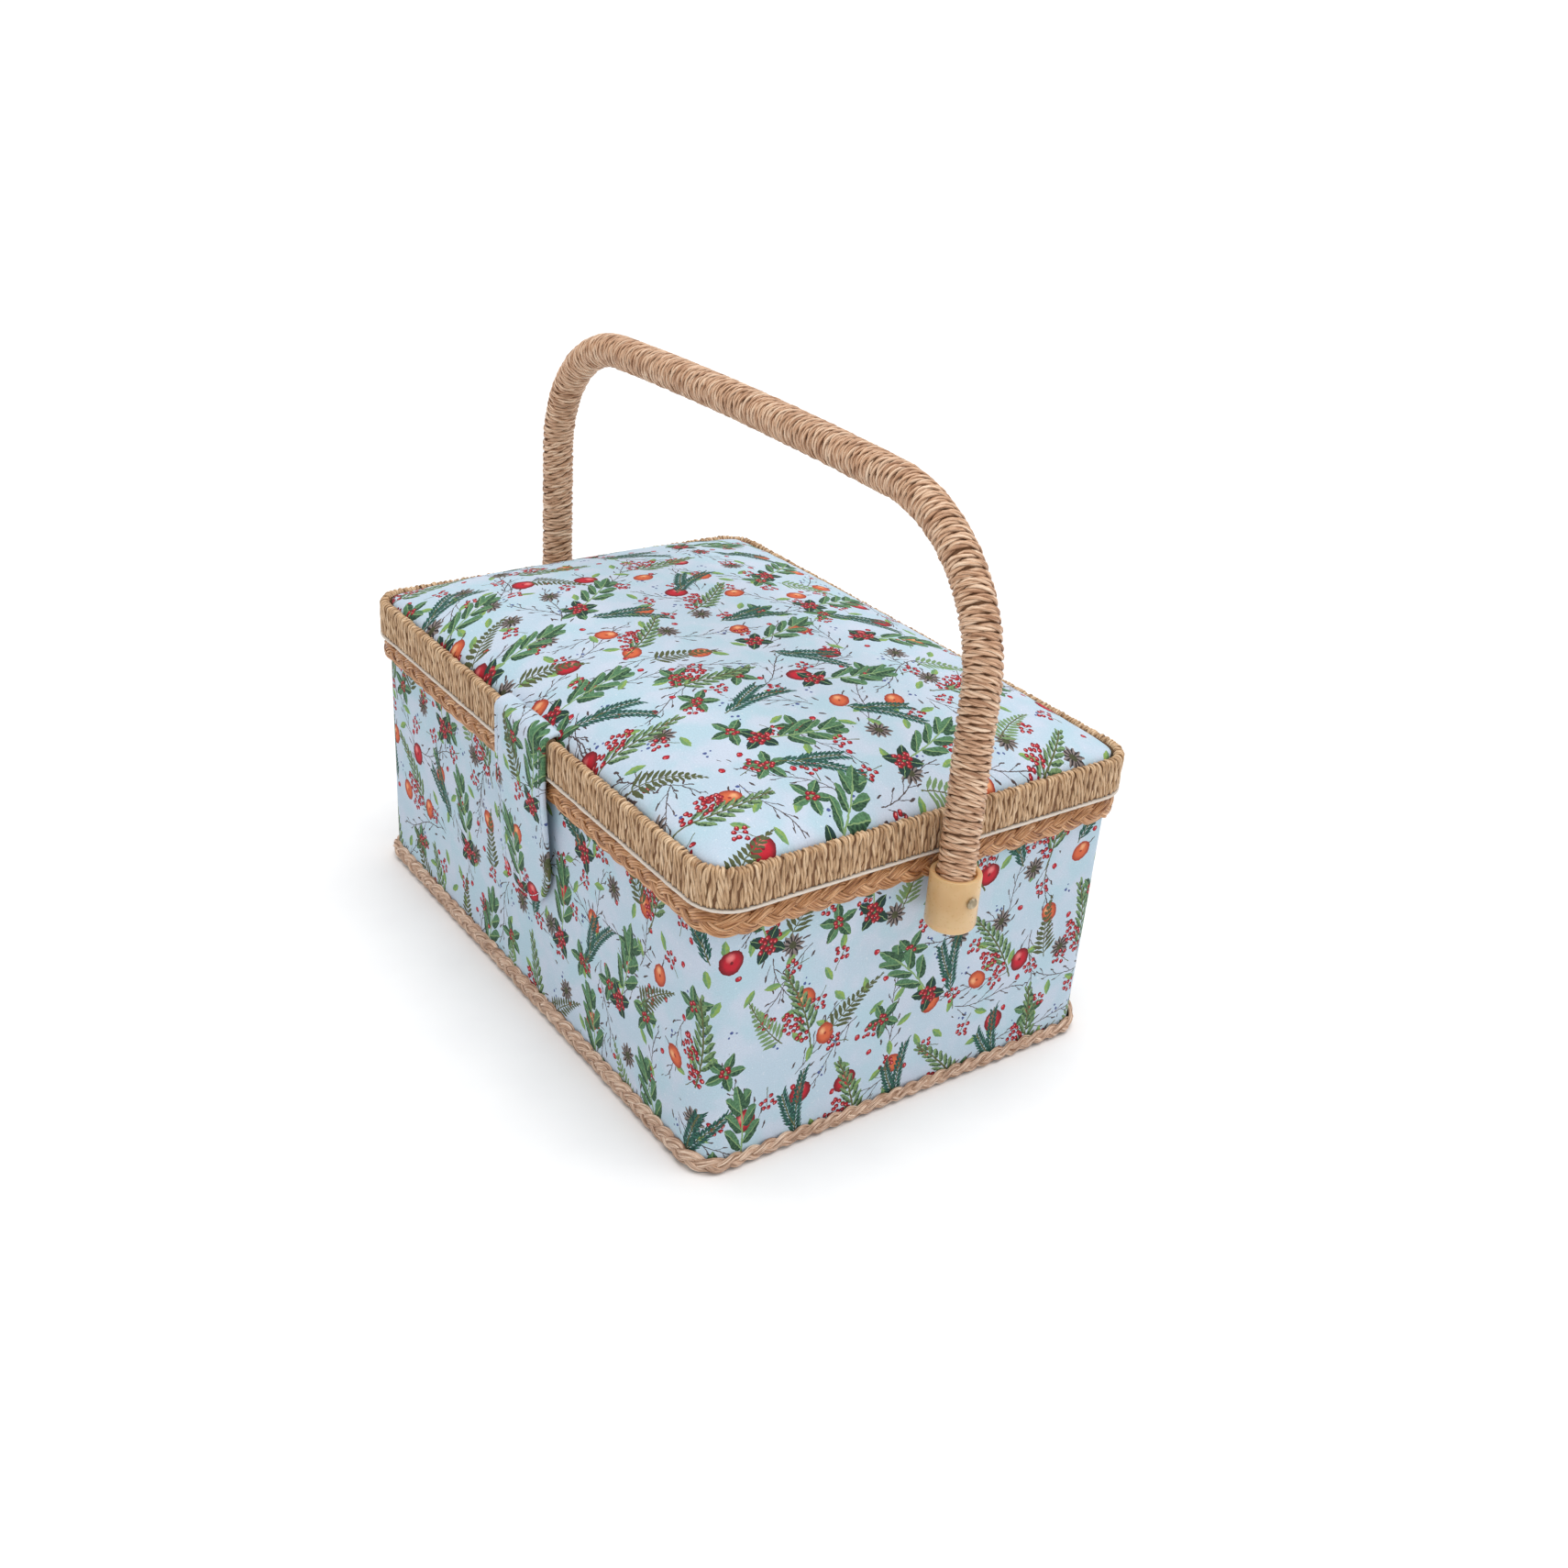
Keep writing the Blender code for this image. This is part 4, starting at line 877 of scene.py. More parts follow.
def make_braid(name, node, material, period, narrow=1.0):
    """A plait of bundles of single straws that runs round the box."""
    low, high = corners(node)
    height = high.z - low.z
    depth = high.x - WALL_HIGH.x
    strip = Strip()
    for bundle in range(BUNDLES):
        track = braid_bundle(Outline(0.0), bundle, period, height, depth, low.z, narrow)
        for straw in range(STRAWS):
            side = (straw + 0.5) / STRAWS - 0.5
            crown = (0.25 - side ** 2) * 1.1 * depth * 0.5
            path = []
            for index, (middle, outward, station, share) in enumerate(track):
                width = height * share * BRAID_BUNDLE_SHARE
                along = track[(index + 1) % len(track)][0] - track[index - 1][0]
                across = along.cross(outward).normalized()
                drift = 0.35 * ripple(station * 140, bundle * 5 + straw * 3.7)
                lift = crown + 0.14 * depth * ripple(station * 200, straw * 2.3 + 40, bundle)
                offset = across * (side * width + drift * width / STRAWS)
                centre = middle + offset + outward.normalized() * lift
                broad = width / STRAWS * (1.4 + 0.7 * ripple(station * 110, straw * 7.7, bundle * 3))
                thick = depth * (0.42 + 0.2 * ripple(station * 130, straw * 4.1 + 9, bundle))
                path.append((centre, outward, broad, thick))
            strip.tube(path, round_section(STRAW_SIDES), closed=True, start=0.1 * straw)
    strip.piece(name, material, "basket", "straw_braid", node)


def add_plies(strip, track, sides, twist_length, spread, width, thickness, phase, plies=3):
    """Lays plies round a line. The track holds (middle, outward, side, share) and share thins its ends."""
    for ply in range(plies):
        path = []
        run = 0.0
        for index, (middle, outward, side, share) in enumerate(track):
            if index:
                run += (middle - track[index - 1][0]).length
            turn = run / twist_length + ply / plies
            angle = 2 * math.pi * turn + phase + 1.1 * ripple(run * 60, phase, ply)
            offset = outward * (0.62 * math.sin(angle)) + side * (1.15 * math.cos(angle))
            grow = 1 + 0.5 * ripple(run * 130, phase * 3, ply * 5)
            path.append((middle + offset * spread, outward, width * grow * share, thickness * share))
        strip.tube(path, round_section(sides), start=0.05 * ply + 0.21 * phase)


def rim_profile():
    """Where a strand of the rim runs: (inset, height, direction of its outer side as inset and rise)."""
    straight = RIM_HIGH.z - RIM_FOLD - RIM_LOW.z
    steps = RIM_STRAIGHT_STEPS
    found = [(0.0, RIM_LOW.z + straight * step / steps, (-1.0, 0.0)) for step in range(steps)]
    for step in range(RIM_FOLD_STEPS + 1):
        angle = math.pi / 2 * step / RIM_FOLD_STEPS
        cosine, sine = math.cos(angle), math.sin(angle)
        found.append((RIM_FOLD - RIM_FOLD * cosine, RIM_HIGH.z - RIM_FOLD + RIM_FOLD * sine, (-cosine, sine)))
    return found + [(inset, RIM_HIGH.z - depth, facing) for inset, depth, facing in RIM_TUCK]


def make_rim(material, under):
    """Twisted strands that stand side by side and fold over the rim's top edge."""
    outer = Outline(RIM_HIGH.x - WALL_HIGH.x)
    profile = rim_profile()
    count = round(outer.length / RIM_PITCH)
    pitch = outer.length / count
    strip = Strip()
    for index in range(count):
        station = (index + 0.1 * RANDOM.uniform(-1, 1)) * pitch
        lean = RIM_LEAN + RIM_LEAN_SPREAD * RANDOM.uniform(-1, 1) + RIM_LEAN_DRIFT * ripple(index * 0.11)
        depth = RIM_DEPTH + RANDOM.uniform(0.0, RIM_SINK)
        track = []
        for number, (inset, height, (turn_in, turn_up)) in enumerate(profile):
            share = number / (len(profile) - 1)
            sway = RIM_SWAY * math.sin(index * 1.7 + share * 6)
            point, normal = outer.at(station + lean * (share - 0.5) * 2 + sway)
            outward = (UP * turn_up - normal * turn_in).normalized()
            middle = point - normal * inset + UP * height - outward * depth
            track.append((middle, outward, UP.cross(normal), 1.0 if number else 0.55))
        size = pitch * RANDOM.uniform(*RIM_WIDTH_SHARES)
        twist = RANDOM.uniform(*RIM_TWIST)
        phase = RANDOM.uniform(0, 6)
        add_plies(strip, track, RIM_STRAND_SIDES, twist, RIM_PLY_SPREAD, size, RIM_PLY_THICKNESS, phase)
    strip.piece("rim_strands", material, "lid", "raffia", "lid_rim_wrap")
    # The backing's finish is dark with painted shade for the gaps between the strands
    top = [(inset * MM, RIM_HIGH.z - depth * MM) for inset, depth in BACKING_TOP]
    shell = [(BACKING_OUTER, BACKING_FOOT), *top, (BACKING_INNER, BACKING_FOOT)]
    backing = Strip()
    rows, marks = outer.wrapped(outer.adapted(BACKING_STEP, BACKING_CORNER_STEPS), shell)
    backing.grid(rows, marks, closed_rows=True, closed_columns=True)
    backing.piece("rim_backing", under, "lid", "raffia")


def make_edging(material):
    """A soft white line of felt that shows under the rim."""
    outer = Outline(EDGING_HIGH.x - WALL_HIGH.x)
    stations = [outer.length * index / EDGING_STATIONS for index in range(EDGING_STATIONS)]
    middle = (EDGING_LOW.z + EDGING_HIGH.z) / 2
    half = (EDGING_HIGH.z - EDGING_LOW.z) / 2
    rows = []
    for out, up in EDGING_SECTION:
        row = []
        for station in stations:
            point, normal = outer.at(station)
            rough = 0.2 * ripple(station * 1100, out * 3, up) + 0.3 * ripple(station * 120, 2.2)
            sag = 0.21 * ripple(station * 70, 5.5)
            level = middle + half * (0.75 * up + sag + 0.4 * rough)
            row.append(point + normal * (out + rough) * MM + UP * level)
        rows.append(row)
    strip = Strip()
    marks = [[(station, up * MM) for station in stations] for _, up in EDGING_SECTION]
    strip.grid(rows, marks, closed_rows=True, closed_columns=True)
    strip.piece("edging_line", material, "lid", "felt_edging", "lid_edging")


# Soft pieces

def rounded_grid(half_x, half_y, radius, columns, rows):
    """A grid that fills a rounded rectangle. Returns rows of (x, y, share of the way out)."""
    found = []
    for row in range(rows + 1):
        v = 2 * row / rows - 1
        line = []
        for column in range(columns + 1):
            u = 2 * column / columns - 1
            share = max(abs(u), abs(v), 1e-6)
            point = Vector((half_x * u / share, half_y * v / share))
            corner = Vector((math.copysign(half_x - radius, u), math.copysign(half_y - radius, v)))
            if abs(point.x) > abs(corner.x) and abs(point.y) > abs(corner.y):
                point = corner + (point - corner).normalized() * radius
            line.append((point.x * share, point.y * share, share))
        found.append(line)
    return found


def two_sided(sides):
    """A closed strip of two equal grids of points, one over the other, marked as seen from above."""
    rows, columns = len(sides[0]) - 1, len(sides[0][0]) - 1
    rim = [(0, column) for column in range(columns)] + [(row, columns) for row in range(rows)]
    rim += [(rows, columns - column) for column in range(columns)] + [(rows - row, 0) for row in range(rows)]
    edge = [[side[row][column] for row, column in rim] for side in sides]
    strip = Strip()
    for points in (*sides, edge):
        strip.grid(points, points, closed_columns=points is edge)
    strip.marks = [tuple(strip.points[vert].xy for vert in face) for face in strip.faces]
    return strip


def pillow(middle, half_x, half_y, radius, grid, upper, lower):
    """A closed form whose upper and lower levels are functions of x, y and the share of the way out."""
    plan = rounded_grid(half_x, half_y, radius, *grid)
    return two_sided([[[Vector((x, y, level(x, y, share))) + middle for x, y, share in line] for line in plan]
                      for level in (upper, lower)])


def swell(piece, held, pressure, cap):
    """Cloth simulation of stuffing. Points for which held is true stay, the others move up to the cap."""
    start = [vertex.co.copy() for vertex in piece.data.vertices]
    group = piece.vertex_groups.new(name="held")
    group.add([index for index, point in enumerate(start) if held(point)], 1.0, "REPLACE")
    cloth = piece.modifiers.new("cloth", "CLOTH")
    for key, value in {**CLOTH, "uniform_pressure_force": pressure}.items():
        setattr(cloth.settings, key, value)
    cloth.settings.effector_weights.gravity = 0
    scene = bpy.context.scene
    for number in range(1, SWELL_FRAMES + 1):
        scene.frame_set(number)
    swollen = piece.evaluated_get(bpy.context.evaluated_depsgraph_get()).to_mesh()
    shifts = [vertex.co - before for vertex, before in zip(swollen.vertices, start)]
    piece.modifiers.remove(cloth)
    scene.frame_set(1)
    for vertex, before, shift in zip(piece.data.vertices, start, shifts):
        vertex.co = before + shift * min(1.0, cap / max(shift.length, 1e-9))
    piece.modifiers.new("smooth", "SUBSURF").levels = 1
    made = bpy.data.meshes.new_from_object(piece.evaluated_get(bpy.context.evaluated_depsgraph_get()))
    piece.modifiers.clear()
    piece.data = made
    made.shade_smooth()


def make_cushion(cotton):
    """The padded cover: a crown that is drawn in where the rim holds it."""
    rise = COVER_HIGH.z - CROWN_SWELL - CROWN_EDGE
    half_x, half_y = COVER_HIGH.x, COVER_HIGH.y

    def upper(x, y, share):
        across = max(0.0, 1 - abs(x / half_x) ** CROWN_POWER)
        along = max(0.0, 1 - abs(y / half_y) ** CROWN_POWER)
        near = max(0.0, 1 - (1 - share) * half_y / CROWN_GATHER_REACH)
        station = math.atan2(y, x) * CROWN_ARM
        pleats = math.sin(station / CROWN_GATHER_PITCH * 3 + 5 * ripple(station * 30))
        level = CROWN_EDGE + rise * (across * along) ** CROWN_FULLNESS
        return level + pleats * near * (1 - near) * CROWN_GATHER + CROWN_WAVE * ripple(x * 18, y * 18)

    def foot(x, y, share):
        return CROWN_FOOT

    strip = pillow(Vector((0, 0, 0)), half_x, half_y, CORNER_RADIUS, CROWN_GRID, upper, foot)
    solids = ("lid_cover", "lid_pad")
    cushion = strip.piece("lid_cushion", cotton, None, "printed_cotton", *solids, merge=SOFT_WELD)
    swell(cushion, lambda point: point.z < CROWN_EDGE + CROWN_HELD, CROWN_PRESSURE, CROWN_SWELL)
    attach(cushion, "lid")


def make_pincushion(cotton, straw):
    """A small stuffed square with a piped seam. The swollen form is drawn back into its box."""
    low, high = corners("pincushion")
    middle = (low + high) / 2
    half = (high.x - low.x) / 2 - PIPING_WIDTH
    rise = (high.z - low.z) / 2 - PIN_SWELL / 2

    def dome(x, y, share):
        return rise * (0.25 + 0.75 * math.sqrt(max(0.0, 1 - share ** 2.2)))

    strip = pillow(middle, half, half, PIN_CORNER, PIN_GRID, dome, lambda x, y, share: -dome(x, y, share))
    stuffed = strip.piece("pincushion_pad", cotton, None, "printed_cotton", "pincushion", merge=SOFT_WELD)
    swell(stuffed, lambda point: False, PIN_PRESSURE, PIN_SWELL)
    reach = max(abs(vertex.co.x - middle.x) for vertex in stuffed.data.vertices)
    for vertex in stuffed.data.vertices:
        drawn = middle + (vertex.co - middle) * (half / reach)
        vertex.co = (drawn.x, drawn.y, min(max(vertex.co.z, low.z), high.z))
    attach(stuffed, "tray")
    spots = [vertex.co - middle for vertex in stuffed.data.vertices]
    equator = [spot for spot in spots if abs(spot.z) < PIPING_WIDTH]
    track = []
    for step in range(PIPING_STEPS):
        turn = 2 * math.pi * step / PIPING_STEPS
        out = Vector((math.cos(turn), math.sin(turn), 0))
        side = UP.cross(out)
        near = [spot.dot(out) for spot in equator if abs(spot.dot(side)) < PIPING_WIDTH and spot.dot(out) > 0]
        track.append((middle + out * max(near), out, PIPING_WIDTH, PIPING_WIDTH))
    seam = Strip()
    seam.tube(track, round_section(PIPING_SIDES), closed=True)
    seam.piece("pincushion_piping", straw, "tray", "straw_braid")


def make_lining(name, node, body, cloth, hollow):
    """Cotton glued inside the box, where it is hollow, or flat under the lid."""
    low, high = corners(node)
    outer = Outline(high.x - WALL_HIGH.x)
    shell = [(0.0, low.z), (0.0, high.z)]
    if hollow:
        shell += [(CLOTH_THICKNESS, high.z), (CLOTH_THICKNESS, low.z + CLOTH_THICKNESS)]
    strip = Strip()
    strip.drum(*outer.wrapped(outer.adapted(LINING_STEP, LINING_CORNER_STEPS), shell))
    strip.piece(name, cloth, body, "lining_cotton", node)


def make_pocket(cloth):
    """A pocket under the lid, gathered along the edge that opens."""
    low, high = corners("lid_pocket")
    middle = (low.z + high.z) / 2
    swing = POCKET_SWING * (high.z - low.z - CLOTH_THICKNESS) / 2
    columns, lines = POCKET_GRID
    sides = []
    for side in (1, -1):
        rows = []
        for line in range(lines + 1):
            y = low.y + (high.y - low.y) * line / lines
            loose = math.exp(-((y - low.y) / POCKET_FADE)) * math.sin(math.pi * min(1.0, (line + 0.6) / 3))
            row = []
            for column in range(columns + 1):
                x = low.x + (high.x - low.x) * column / columns
                fold = math.sin(x / POCKET_PLEAT * 2 * math.pi + 2.2 * ripple(x * 60)) * (0.25 + 0.75 * loose)
                row.append(Vector((x, y, middle + swing * fold + side * CLOTH_THICKNESS / 2)))
            rows.append(row)
        sides.append(rows)
    strip = two_sided(sides)
    pocket = strip.piece("lid_pocket_cloth", cloth, "lid", "lining_cotton", "lid_pocket", merge=SOFT_WELD)


# Tab

def tab_path(distance):
    """Where the tab's middle surface runs: over the rim, down, then leaning in. Returns point, outward."""
    if distance < TAB_FLAT:
        arch = TAB_ARCH * math.sin(math.pi * distance / TAB_FLAT)
        return Vector((TAB_MIDDLE, TAB_FACE + TAB_BEND + TAB_FLAT - distance, TAB_TOP + arch)), UP
    if distance < TAB_FLAT + TAB_ROUND:
        angle = (distance - TAB_FLAT) / TAB_BEND
        out = Vector((0, -math.sin(angle), math.cos(angle)))
        return Vector((TAB_MIDDLE, TAB_FACE + TAB_BEND, TAB_TOP - TAB_BEND)) + out * TAB_BEND, out
    drop = distance - TAB_FLAT - TAB_ROUND
    if drop < TAB_FALL:
        return Vector((TAB_MIDDLE, TAB_FACE, TAB_TOP - TAB_BEND - drop)), Vector((0, -1, 0))
    drop -= TAB_FALL
    eased = min(1.0, drop / TAB_LEAN_EASE)
    turn = TAB_LEAN * eased
    inward = drop * math.sin(TAB_LEAN) * (0.5 + 0.5 * eased)
    point = Vector((TAB_MIDDLE, TAB_FACE + inward, TAB_LEAN_START - drop * math.cos(TAB_LEAN)))
    return point, Vector((0, -math.cos(turn), -math.sin(turn)))


def tab_reach(along, radius):
    """How far the tab's side lies from its middle, with a rounded lower corner."""
    below = max(0.0, along - TAB_LENGTH + radius)
    return TAB_HALF - (radius - math.sqrt(max(0.0, radius ** 2 - below ** 2)))


def edge_depth(across, along):
    """How far a place on the tab lies inside its edge. Across runs from the tab's middle."""
    radius = TAB_RIGHT_CORNER if across > 0 else TAB_LEFT_CORNER
    reach = abs(across) - (TAB_HALF - radius)
    below = along - (TAB_LENGTH - radius)
    if reach > 0 and below > 0:
        return max(0.0, radius - math.hypot(reach, below))
    return max(0.0, min(TAB_HALF - abs(across), TAB_LENGTH - along))


def tab_swell(across, along, side):
    """Half the tab's thickness at a place, with its seam and its stuffing on the outer side."""
    depth = edge_depth(across, along)
    lip = min(1.0, depth / TAB_LIP)
    swelling = TAB_THICKNESS / 2 * math.sqrt(max(0.0, 1 - (1 - lip) ** 2))
    if side > 0:
        groove = math.exp(-(((depth - TAB_SEAM) / TAB_GROOVE_WIDTH) ** 2)) * TAB_GROOVE
        soft = TAB_FILL * min(1.0, depth / TAB_FILL_REACH) + TAB_WAVE * ripple(across * 60, along * 45)
        swelling += lip * (soft - groove)
    return swelling


def make_tab(cotton):
    lengths = [TAB_LENGTH * TAB_UPPER_SHARE * step / TAB_UPPER_STEPS for step in range(TAB_UPPER_STEPS)]
    for step in range(TAB_LOWER_STEPS + 1):
        left = 1 - math.sin(math.pi / 2 * step / TAB_LOWER_STEPS)
        lengths.append(TAB_LENGTH - TAB_LENGTH * (1 - TAB_UPPER_SHARE) * left)
    strip = Strip()
    for side in (1, -1):
        rows, marks = [], []
        for along in lengths:
            point, out = tab_path(along)
            left, right = -tab_reach(along, TAB_LEFT_CORNER), tab_reach(along, TAB_RIGHT_CORNER)
            steps = [(1 - math.cos(math.pi * column / TAB_COLUMNS)) / 2 for column in range(TAB_COLUMNS + 1)]
            places = [left + (right - left) * step for step in steps]
            rows.append([point + Vector((across, 0, 0)) + out * tab_swell(across, along, side) * side
                         for across in places])
            marks.append([(TAB_PRINT_PLACE[0] + across, TAB_PRINT_PLACE[1] - along) for across in places])
        strip.grid(rows, marks)
    front = list(range(TAB_COLUMNS + 1))
    back = [len(lengths) * (TAB_COLUMNS + 1) + column for column in reversed(front)]
    strip.faces.append(tuple(front + back))
    strip.marks.append((TAB_PRINT_PLACE,) * len(front + back))
    tab = strip.piece("tab_cotton", cotton, None, "printed_cotton", merge=TAB_WELD)
    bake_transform(tab)
    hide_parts("closure_tab", "tab_root")


def seam_path():
    """Places along the seam inside the tab's edge, down the left side and up the right one."""
    path = []
    for sign, radius in ((-1, TAB_LEFT_CORNER), (1, TAB_RIGHT_CORNER)):
        side = []
        along = TAB_FLAT + TAB_ROUND + STITCH_START
        while along < TAB_LENGTH - radius:
            side.append((sign * (TAB_HALF - TAB_SEAM), along))
            along += STITCH_STEP
        arc = radius - TAB_SEAM
        steps = round(math.pi / 2 * arc / STITCH_STEP)
        for step in range(steps + 1):
            angle = math.pi / 2 * step / steps
            across = sign * (TAB_HALF - radius + arc * math.cos(angle))
            side.append((across, TAB_LENGTH - radius + arc * math.sin(angle)))
        path += side if sign < 0 else side[::-1]
    return path


def make_stitches(thread):
    path = seam_path()
    section = round_section(STITCH_SIDES)
    strip = Strip()
    distance = 0.0
    current = []
    for number, (across, along) in enumerate(path):
        if number:
            distance += math.dist((across, along), path[number - 1])
        if distance % STITCH_PITCH < STITCH_LENGTH:
            point, out = tab_path(along)
            current.append((point + Vector((across, 0, 0)) + out * (TAB_THICKNESS / 2 + STITCH_LIFT), out))
            continue
        if len(current) > 2:
            sizes = [STITCH_WIDTH * math.sin(math.pi * (0.2 + 0.6 * place / (len(current) - 1)))
                     for place in range(len(current))]
            strip.tube([(*spot, size, size) for spot, size in zip(current, sizes)], section)
        current = []
    strip.piece("tab_stitches", thread, "tab", "printed_cotton")


# Handle

def handle_line():
    """The handle's centre line, from the left leg to the right one."""
    leg = (SOCKET_LOW.x + SOCKET_HIGH.x) / 2
    top = WRAP_HIGH.z - WRAP_RADIUS - HANDLE_BOW
    straight = top - HANDLE_BEND - WRAP_LOW.z
    half = leg - HANDLE_BEND
    steps = HANDLE_STEPS
    points = [Vector((-leg, 0, WRAP_LOW.z + straight * step / steps)) for step in range(steps)]
    for step in range(steps + 1):
        angle = math.pi / 2 * step / steps
        turned_out = Vector((-math.cos(angle), 0, math.sin(angle)))
        points.append(Vector((-half, 0, top - HANDLE_BEND)) + turned_out * HANDLE_BEND)
    for step in range(1, steps + 1):
        x = -half + half * step / steps
        points.append(Vector((x, 0, top + HANDLE_BOW * (1 - (x / half) ** 2))))
    return points + [Vector((-point.x, 0, point.z)) for point in reversed(points[:-1])]


class Rail:
    """A path in the XZ plane, read by arc length."""

    def __init__(self, points):
        self.places = np.array([tuple(point) for point in points])
        steps = np.linalg.norm(np.diff(self.places, axis=0), axis=1)
        self.runs = np.concatenate([[0.0], np.cumsum(steps)])
        self.length = float(self.runs[-1])

    def at(self, distance):
        distance = min(max(distance, 0.0), self.length)
        return Vector([float(np.interp(distance, self.runs, self.places[:, axis])) for axis in range(3)])

    def along(self, distance):
        return (self.at(distance + RAIL_STEP) - self.at(distance - RAIL_STEP)).normalized()

    def outward(self, distance, angle):
        """The direction away from the path at an angle round it."""
        across = HANDLE_AXIS.cross(self.along(distance))
        return across * math.cos(angle) + HANDLE_AXIS * math.sin(angle)


def make_handle(material, under):
    rail = Rail(handle_line())
    turns = int((rail.length - 2 * WINDING_START) / WINDING_PITCH)
    track = []
    for index in range(turns * WINDING_STATIONS):
        turn = index / WINDING_STATIONS
        theta = 2 * math.pi * turn
        slant = WINDING_SLANT + WINDING_SLANT_DRIFT * ripple(turn * 0.21, 4.4)
        jitter = WINDING_JITTER * ripple(turn * 0.93, 8.8) + WINDING_FRAY * ripple(index * 0.3, 1.1)
        sweep = slant * math.sin(theta + 0.6 + 0.5 * ripple(turn * 0.11, 2.0))
        distance = WINDING_START + turn * WINDING_PITCH + sweep + jitter
        distance = min(max(distance, WINDING_MARGIN), rail.length - WINDING_MARGIN)
        out = rail.outward(distance, theta)
        lift = WRAP_RADIUS - WINDING_DEPTH + WINDING_LIFT * ripple(turn * 0.77, 6.1)
        track.append((rail.at(distance) + out * lift, out, rail.along(distance), 1.0))
    strip = Strip()
    add_plies(strip, track, *WINDING_PLIES, phase=0.0)
    strip.piece("handle_winding", material, "handle", "raffia", "handle_wrap")
    # The backing tube's finish is dark with painted shade for the gaps between the turns
    rows, marks = [], []
    radius = WRAP_RADIUS - TUBE_DEPTH
    angles = [2 * math.pi * corner / TUBE_SIDES for corner in range(TUBE_SIDES)]
    for step in range(TUBE_STEPS + 1):
        station = rail.length * step / TUBE_STEPS
        rows.append([rail.at(station) + rail.outward(station, angle) * radius for angle in angles])
        marks.append([(station, radius * angle) for angle in angles])
    tube = Strip()
    tube.drum(rows, marks)
    tube.piece("handle_backing", under, "handle", "raffia")


def make_socket(name, side, plastic):
    """A turned cup: up its outside, over its lip and down inside to its floor."""
    low, high = SOCKET_LOW, SOCKET_HIGH
    radius = (high.y - low.y) / 2
    profile = [(SOCKET_BORE, low.z)]
    profile += [(radius - inset * MM, low.z + rise * MM) for inset, rise in SOCKET_FOOT]
    profile += [(radius - inset * MM, high.z - depth * MM) for inset, depth in SOCKET_LIP]
    profile += [(profile[-1][0], low.z + SOCKET_FLOOR), (SOCKET_BORE, low.z + SOCKET_FLOOR)]
    middle = Vector((side * (low.x + high.x) / 2, 0, 0))
    angles = [2 * math.pi * step / SOCKET_SIDES for step in range(SOCKET_SIDES)]
    rows = [[middle + Vector((r * math.cos(angle), r * math.sin(angle), height)) for angle in angles]
            for r, height in profile]
    cup = Strip()
    cup.drum(rows, [[(radius * angle, height) for angle in angles] for _, height in profile])
    cup.piece(f"socket_cup_{name}", plastic, "handle", "beige_plastic", f"socket_{name}")


# Stage

def make_camera():
    azimuth, tilt, roll = (math.radians(v) for v in (CAMERA_AZIMUTH, 90 - CAMERA_ELEVATION, CAMERA_ROLL))
    turn = Matrix.Rotation(azimuth, 4, "Z") @ Matrix.Rotation(tilt, 4, "X") @ Matrix.Rotation(roll, 4, "Z")
    data = bpy.data.cameras.new("camera")
    data.sensor_width = SENSOR_MM
    data.lens = FOCAL_PIXELS * SENSOR_MM / PHOTO_PIXELS
    data.clip_start = CAMERA_NEAR
    camera = link("camera", data)
    camera.matrix_world = Matrix.Translation(CAMERA_PLACE) @ turn
    bpy.context.scene.camera = camera


def make_light(name, kind, start, target, **settings):
    data = bpy.data.lights.new(name, kind)
    for key, value in settings.items():
        setattr(data, key, value)
    light = link(name, data)
    light.location = start
    light.rotation_euler = (Vector(target) - Vector(start)).to_track_quat("-Z", "Y").to_euler()


def make_stage():
    mesh = bpy.data.meshes.new("floor")
    reach = FLOOR_REACH
    ends = [(-reach, -reach, 0), (reach, -reach, 0), (reach, reach, 0), (-reach, reach, 0)]
    mesh.from_pydata(ends, [], [(0, 1, 2, 3)])
    paper = Finish("floor_paper", Roughness=0.95)
    grain = paper.noise(paper.position(), 40)
    paper.plug(paper.mix(grain, linear(244, 244, 245), linear(250, 250, 250)), paper.inputs["Base Color"])
    mesh.materials.append(paper.material)
    floor = link("floor", mesh)
    floor.location = (0, 0, -FLOOR_DROP)
    world = bpy.data.worlds.new("studio")
    world.use_nodes = True
    sky = world.node_tree.nodes["Background"].inputs
    sky["Color"].default_value = (1, 1, 1, 1)
    sky["Strength"].default_value = WORLD_STRENGTH
    bpy.context.scene.world = world
    make_light("overhead", "SUN", SUN_FROM, (0, 0, 0), energy=SUN_STRENGTH, angle=math.radians(SUN_WIDTH))
    make_light("side", "AREA", SIDE_FROM, SIDE_TARGET, shape="DISK", size=SIDE_SIZE, energy=SIDE_WATTS)
    bpy.context.scene.view_settings.view_transform = "Standard"


def assign(material, *starts):
    """Gives the material to each node of the frame whose name starts with one of the words."""
    for name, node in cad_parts.items():
        if name.startswith(starts):
            node.data.materials.clear()
            node.data.materials.append(material)


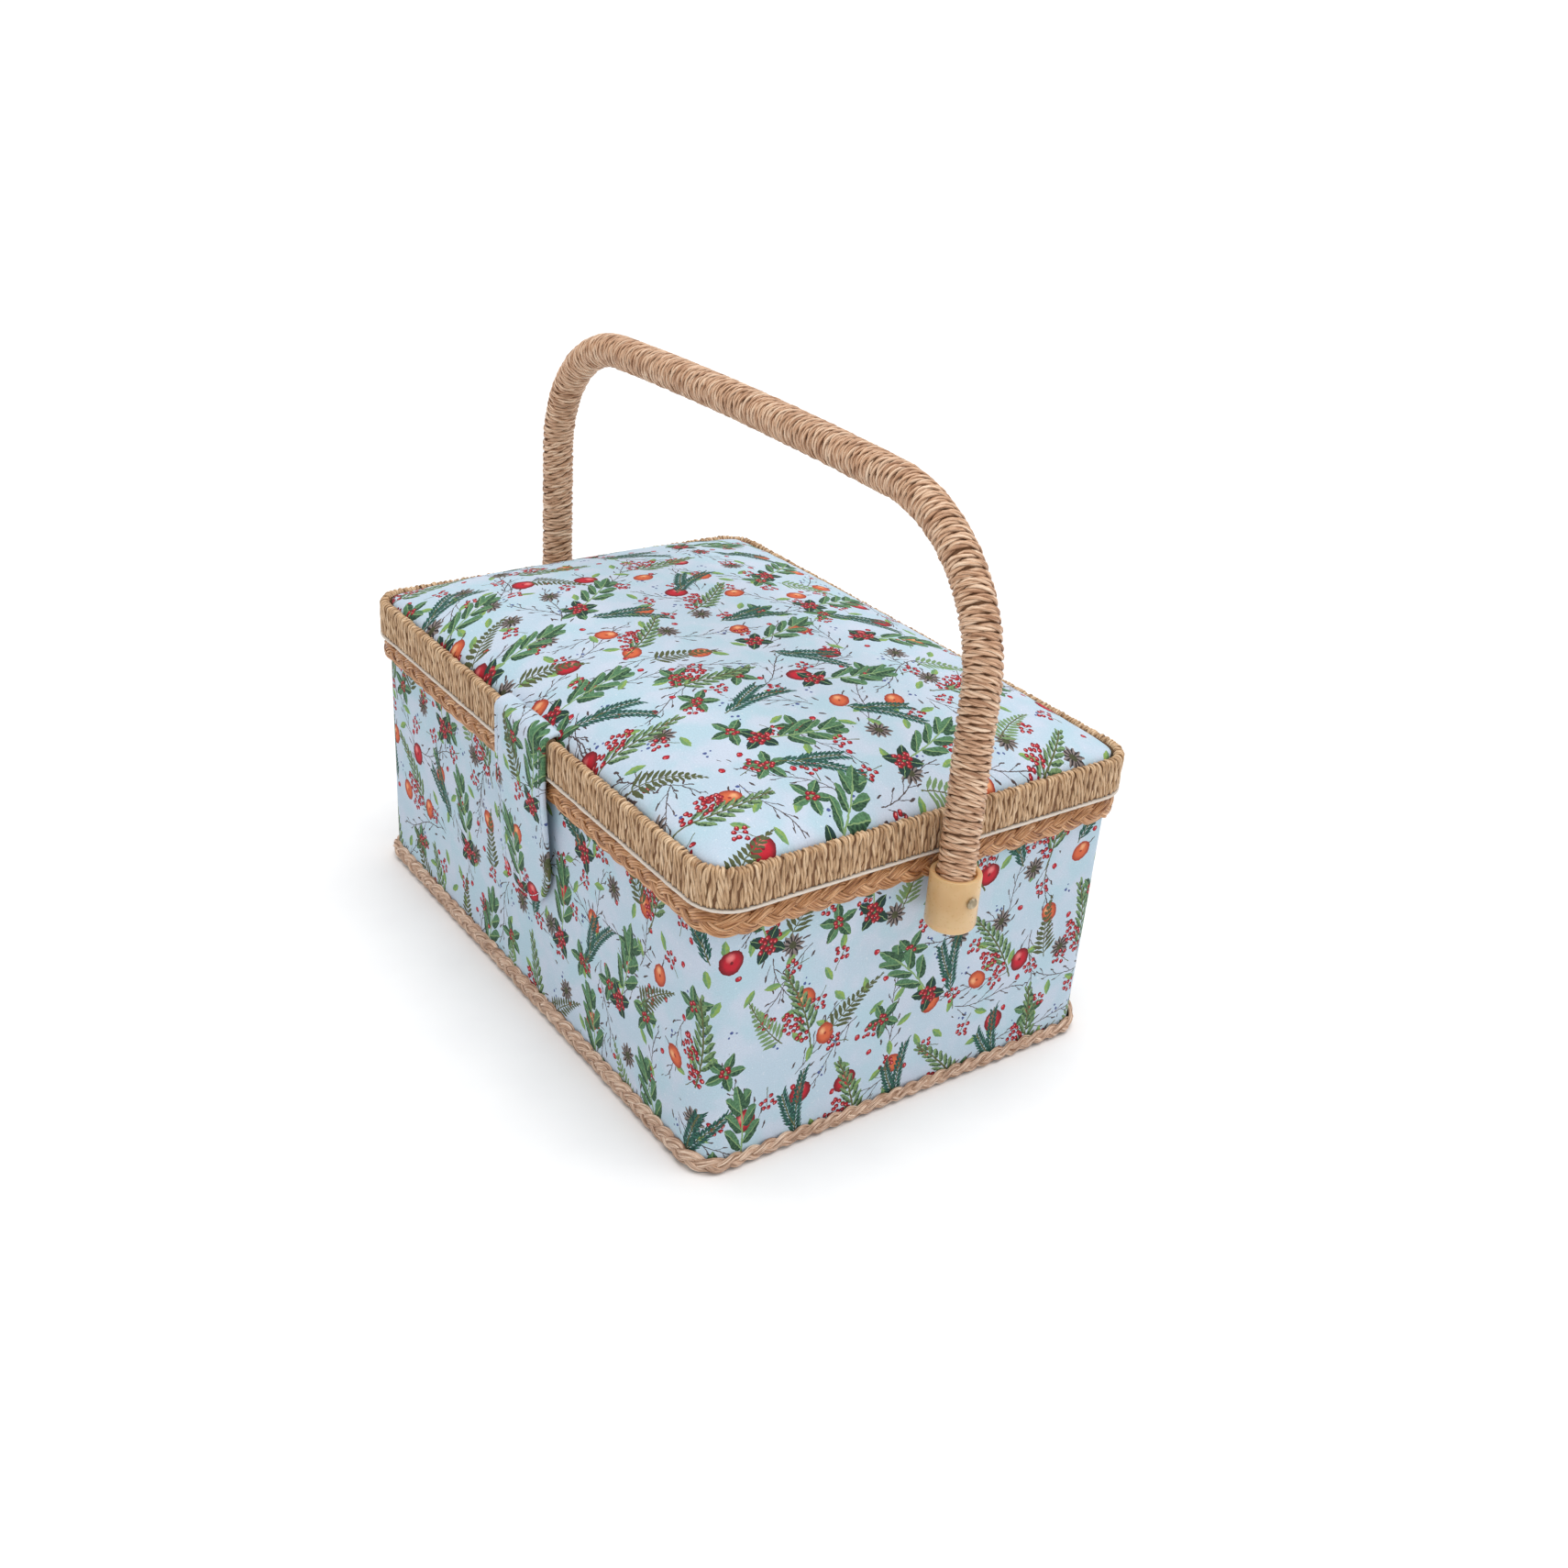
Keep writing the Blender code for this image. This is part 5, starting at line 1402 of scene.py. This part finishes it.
def main():
    make_camera()
    make_stage()
    cotton = printed_cotton("printed_cotton_finish")
    tan = raffia("raffia_finish", (158, 110, 76), (216, 171, 135), (250, 220, 190), 0.65)
    rim = raffia("rim_raffia_finish", (144, 104, 68), (200, 162, 120), (236, 206, 170), 0.7)
    straw = raffia("mouth_straw_finish", (118, 64, 30), (188, 130, 80), (234, 186, 140), 0.62)
    pale_straw = raffia("foot_straw_finish", (132, 94, 68), (204, 168, 142), (242, 218, 196), 0.6)
    # Painted shade: the backing under the rim strands and the handle winding is dark so that the gaps between
    # strands look shaded
    shade = fibreboard("winding_gap_painted_shade", (96, 66, 44), (140, 102, 72))
    felt = plain_cloth("felt_finish", (192, 180, 166), (240, 232, 222), 0.9, 0.6)
    thread = plain_cloth("thread_finish", (190, 206, 220), (236, 242, 248))
    lining = plain_cloth("lining_finish", (214, 208, 196), (238, 234, 226))
    plastic = moulded("socket_plastic", (212, 164, 112), (228, 186, 138), 0.3, Subsurface_Weight=0.15)
    make_walls(cotton)
    make_braid("mouth_plait", "top_braid", straw, MOUTH_PERIOD)
    make_braid("foot_plait", "base_braid", pale_straw, FOOT_PERIOD, FOOT_NARROW)
    make_rim(rim, shade)
    make_edging(felt)
    make_cushion(cotton)
    make_pincushion(cotton, straw)
    make_tab(cotton)
    make_stitches(thread)
    make_handle(tan, shade)
    for name, side in (("left", -1), ("right", 1)):
        make_socket(name, side, plastic)
    make_lining("box_lining_cloth", "body_lining", "basket", lining, hollow=True)
    make_lining("lid_lining_cloth", "lid_lining", "lid", lining, hollow=False)
    make_pocket(lining)
    assign(moulded("tube_finish", (170, 142, 108), (186, 160, 124), 0.6), "handle_core")
    assign(moulded("tray_finish", (222, 226, 230), (236, 239, 242), 0.35), "tray")
    board = fibreboard("board_finish", (120, 94, 66), (176, 148, 112))
    assign(board, "base_board", "body_walls", "lid_board", "lid_rim_core", "tray_ledge_")
    steel = metal("nickel_finish", (196, 184, 160), (150, 136, 112), 0.34)
    assign(steel, "pivot_", "hinge_", "keeper_", "tab_magnet", "body_leaf_screw_", "lid_leaf_screw_")


main()
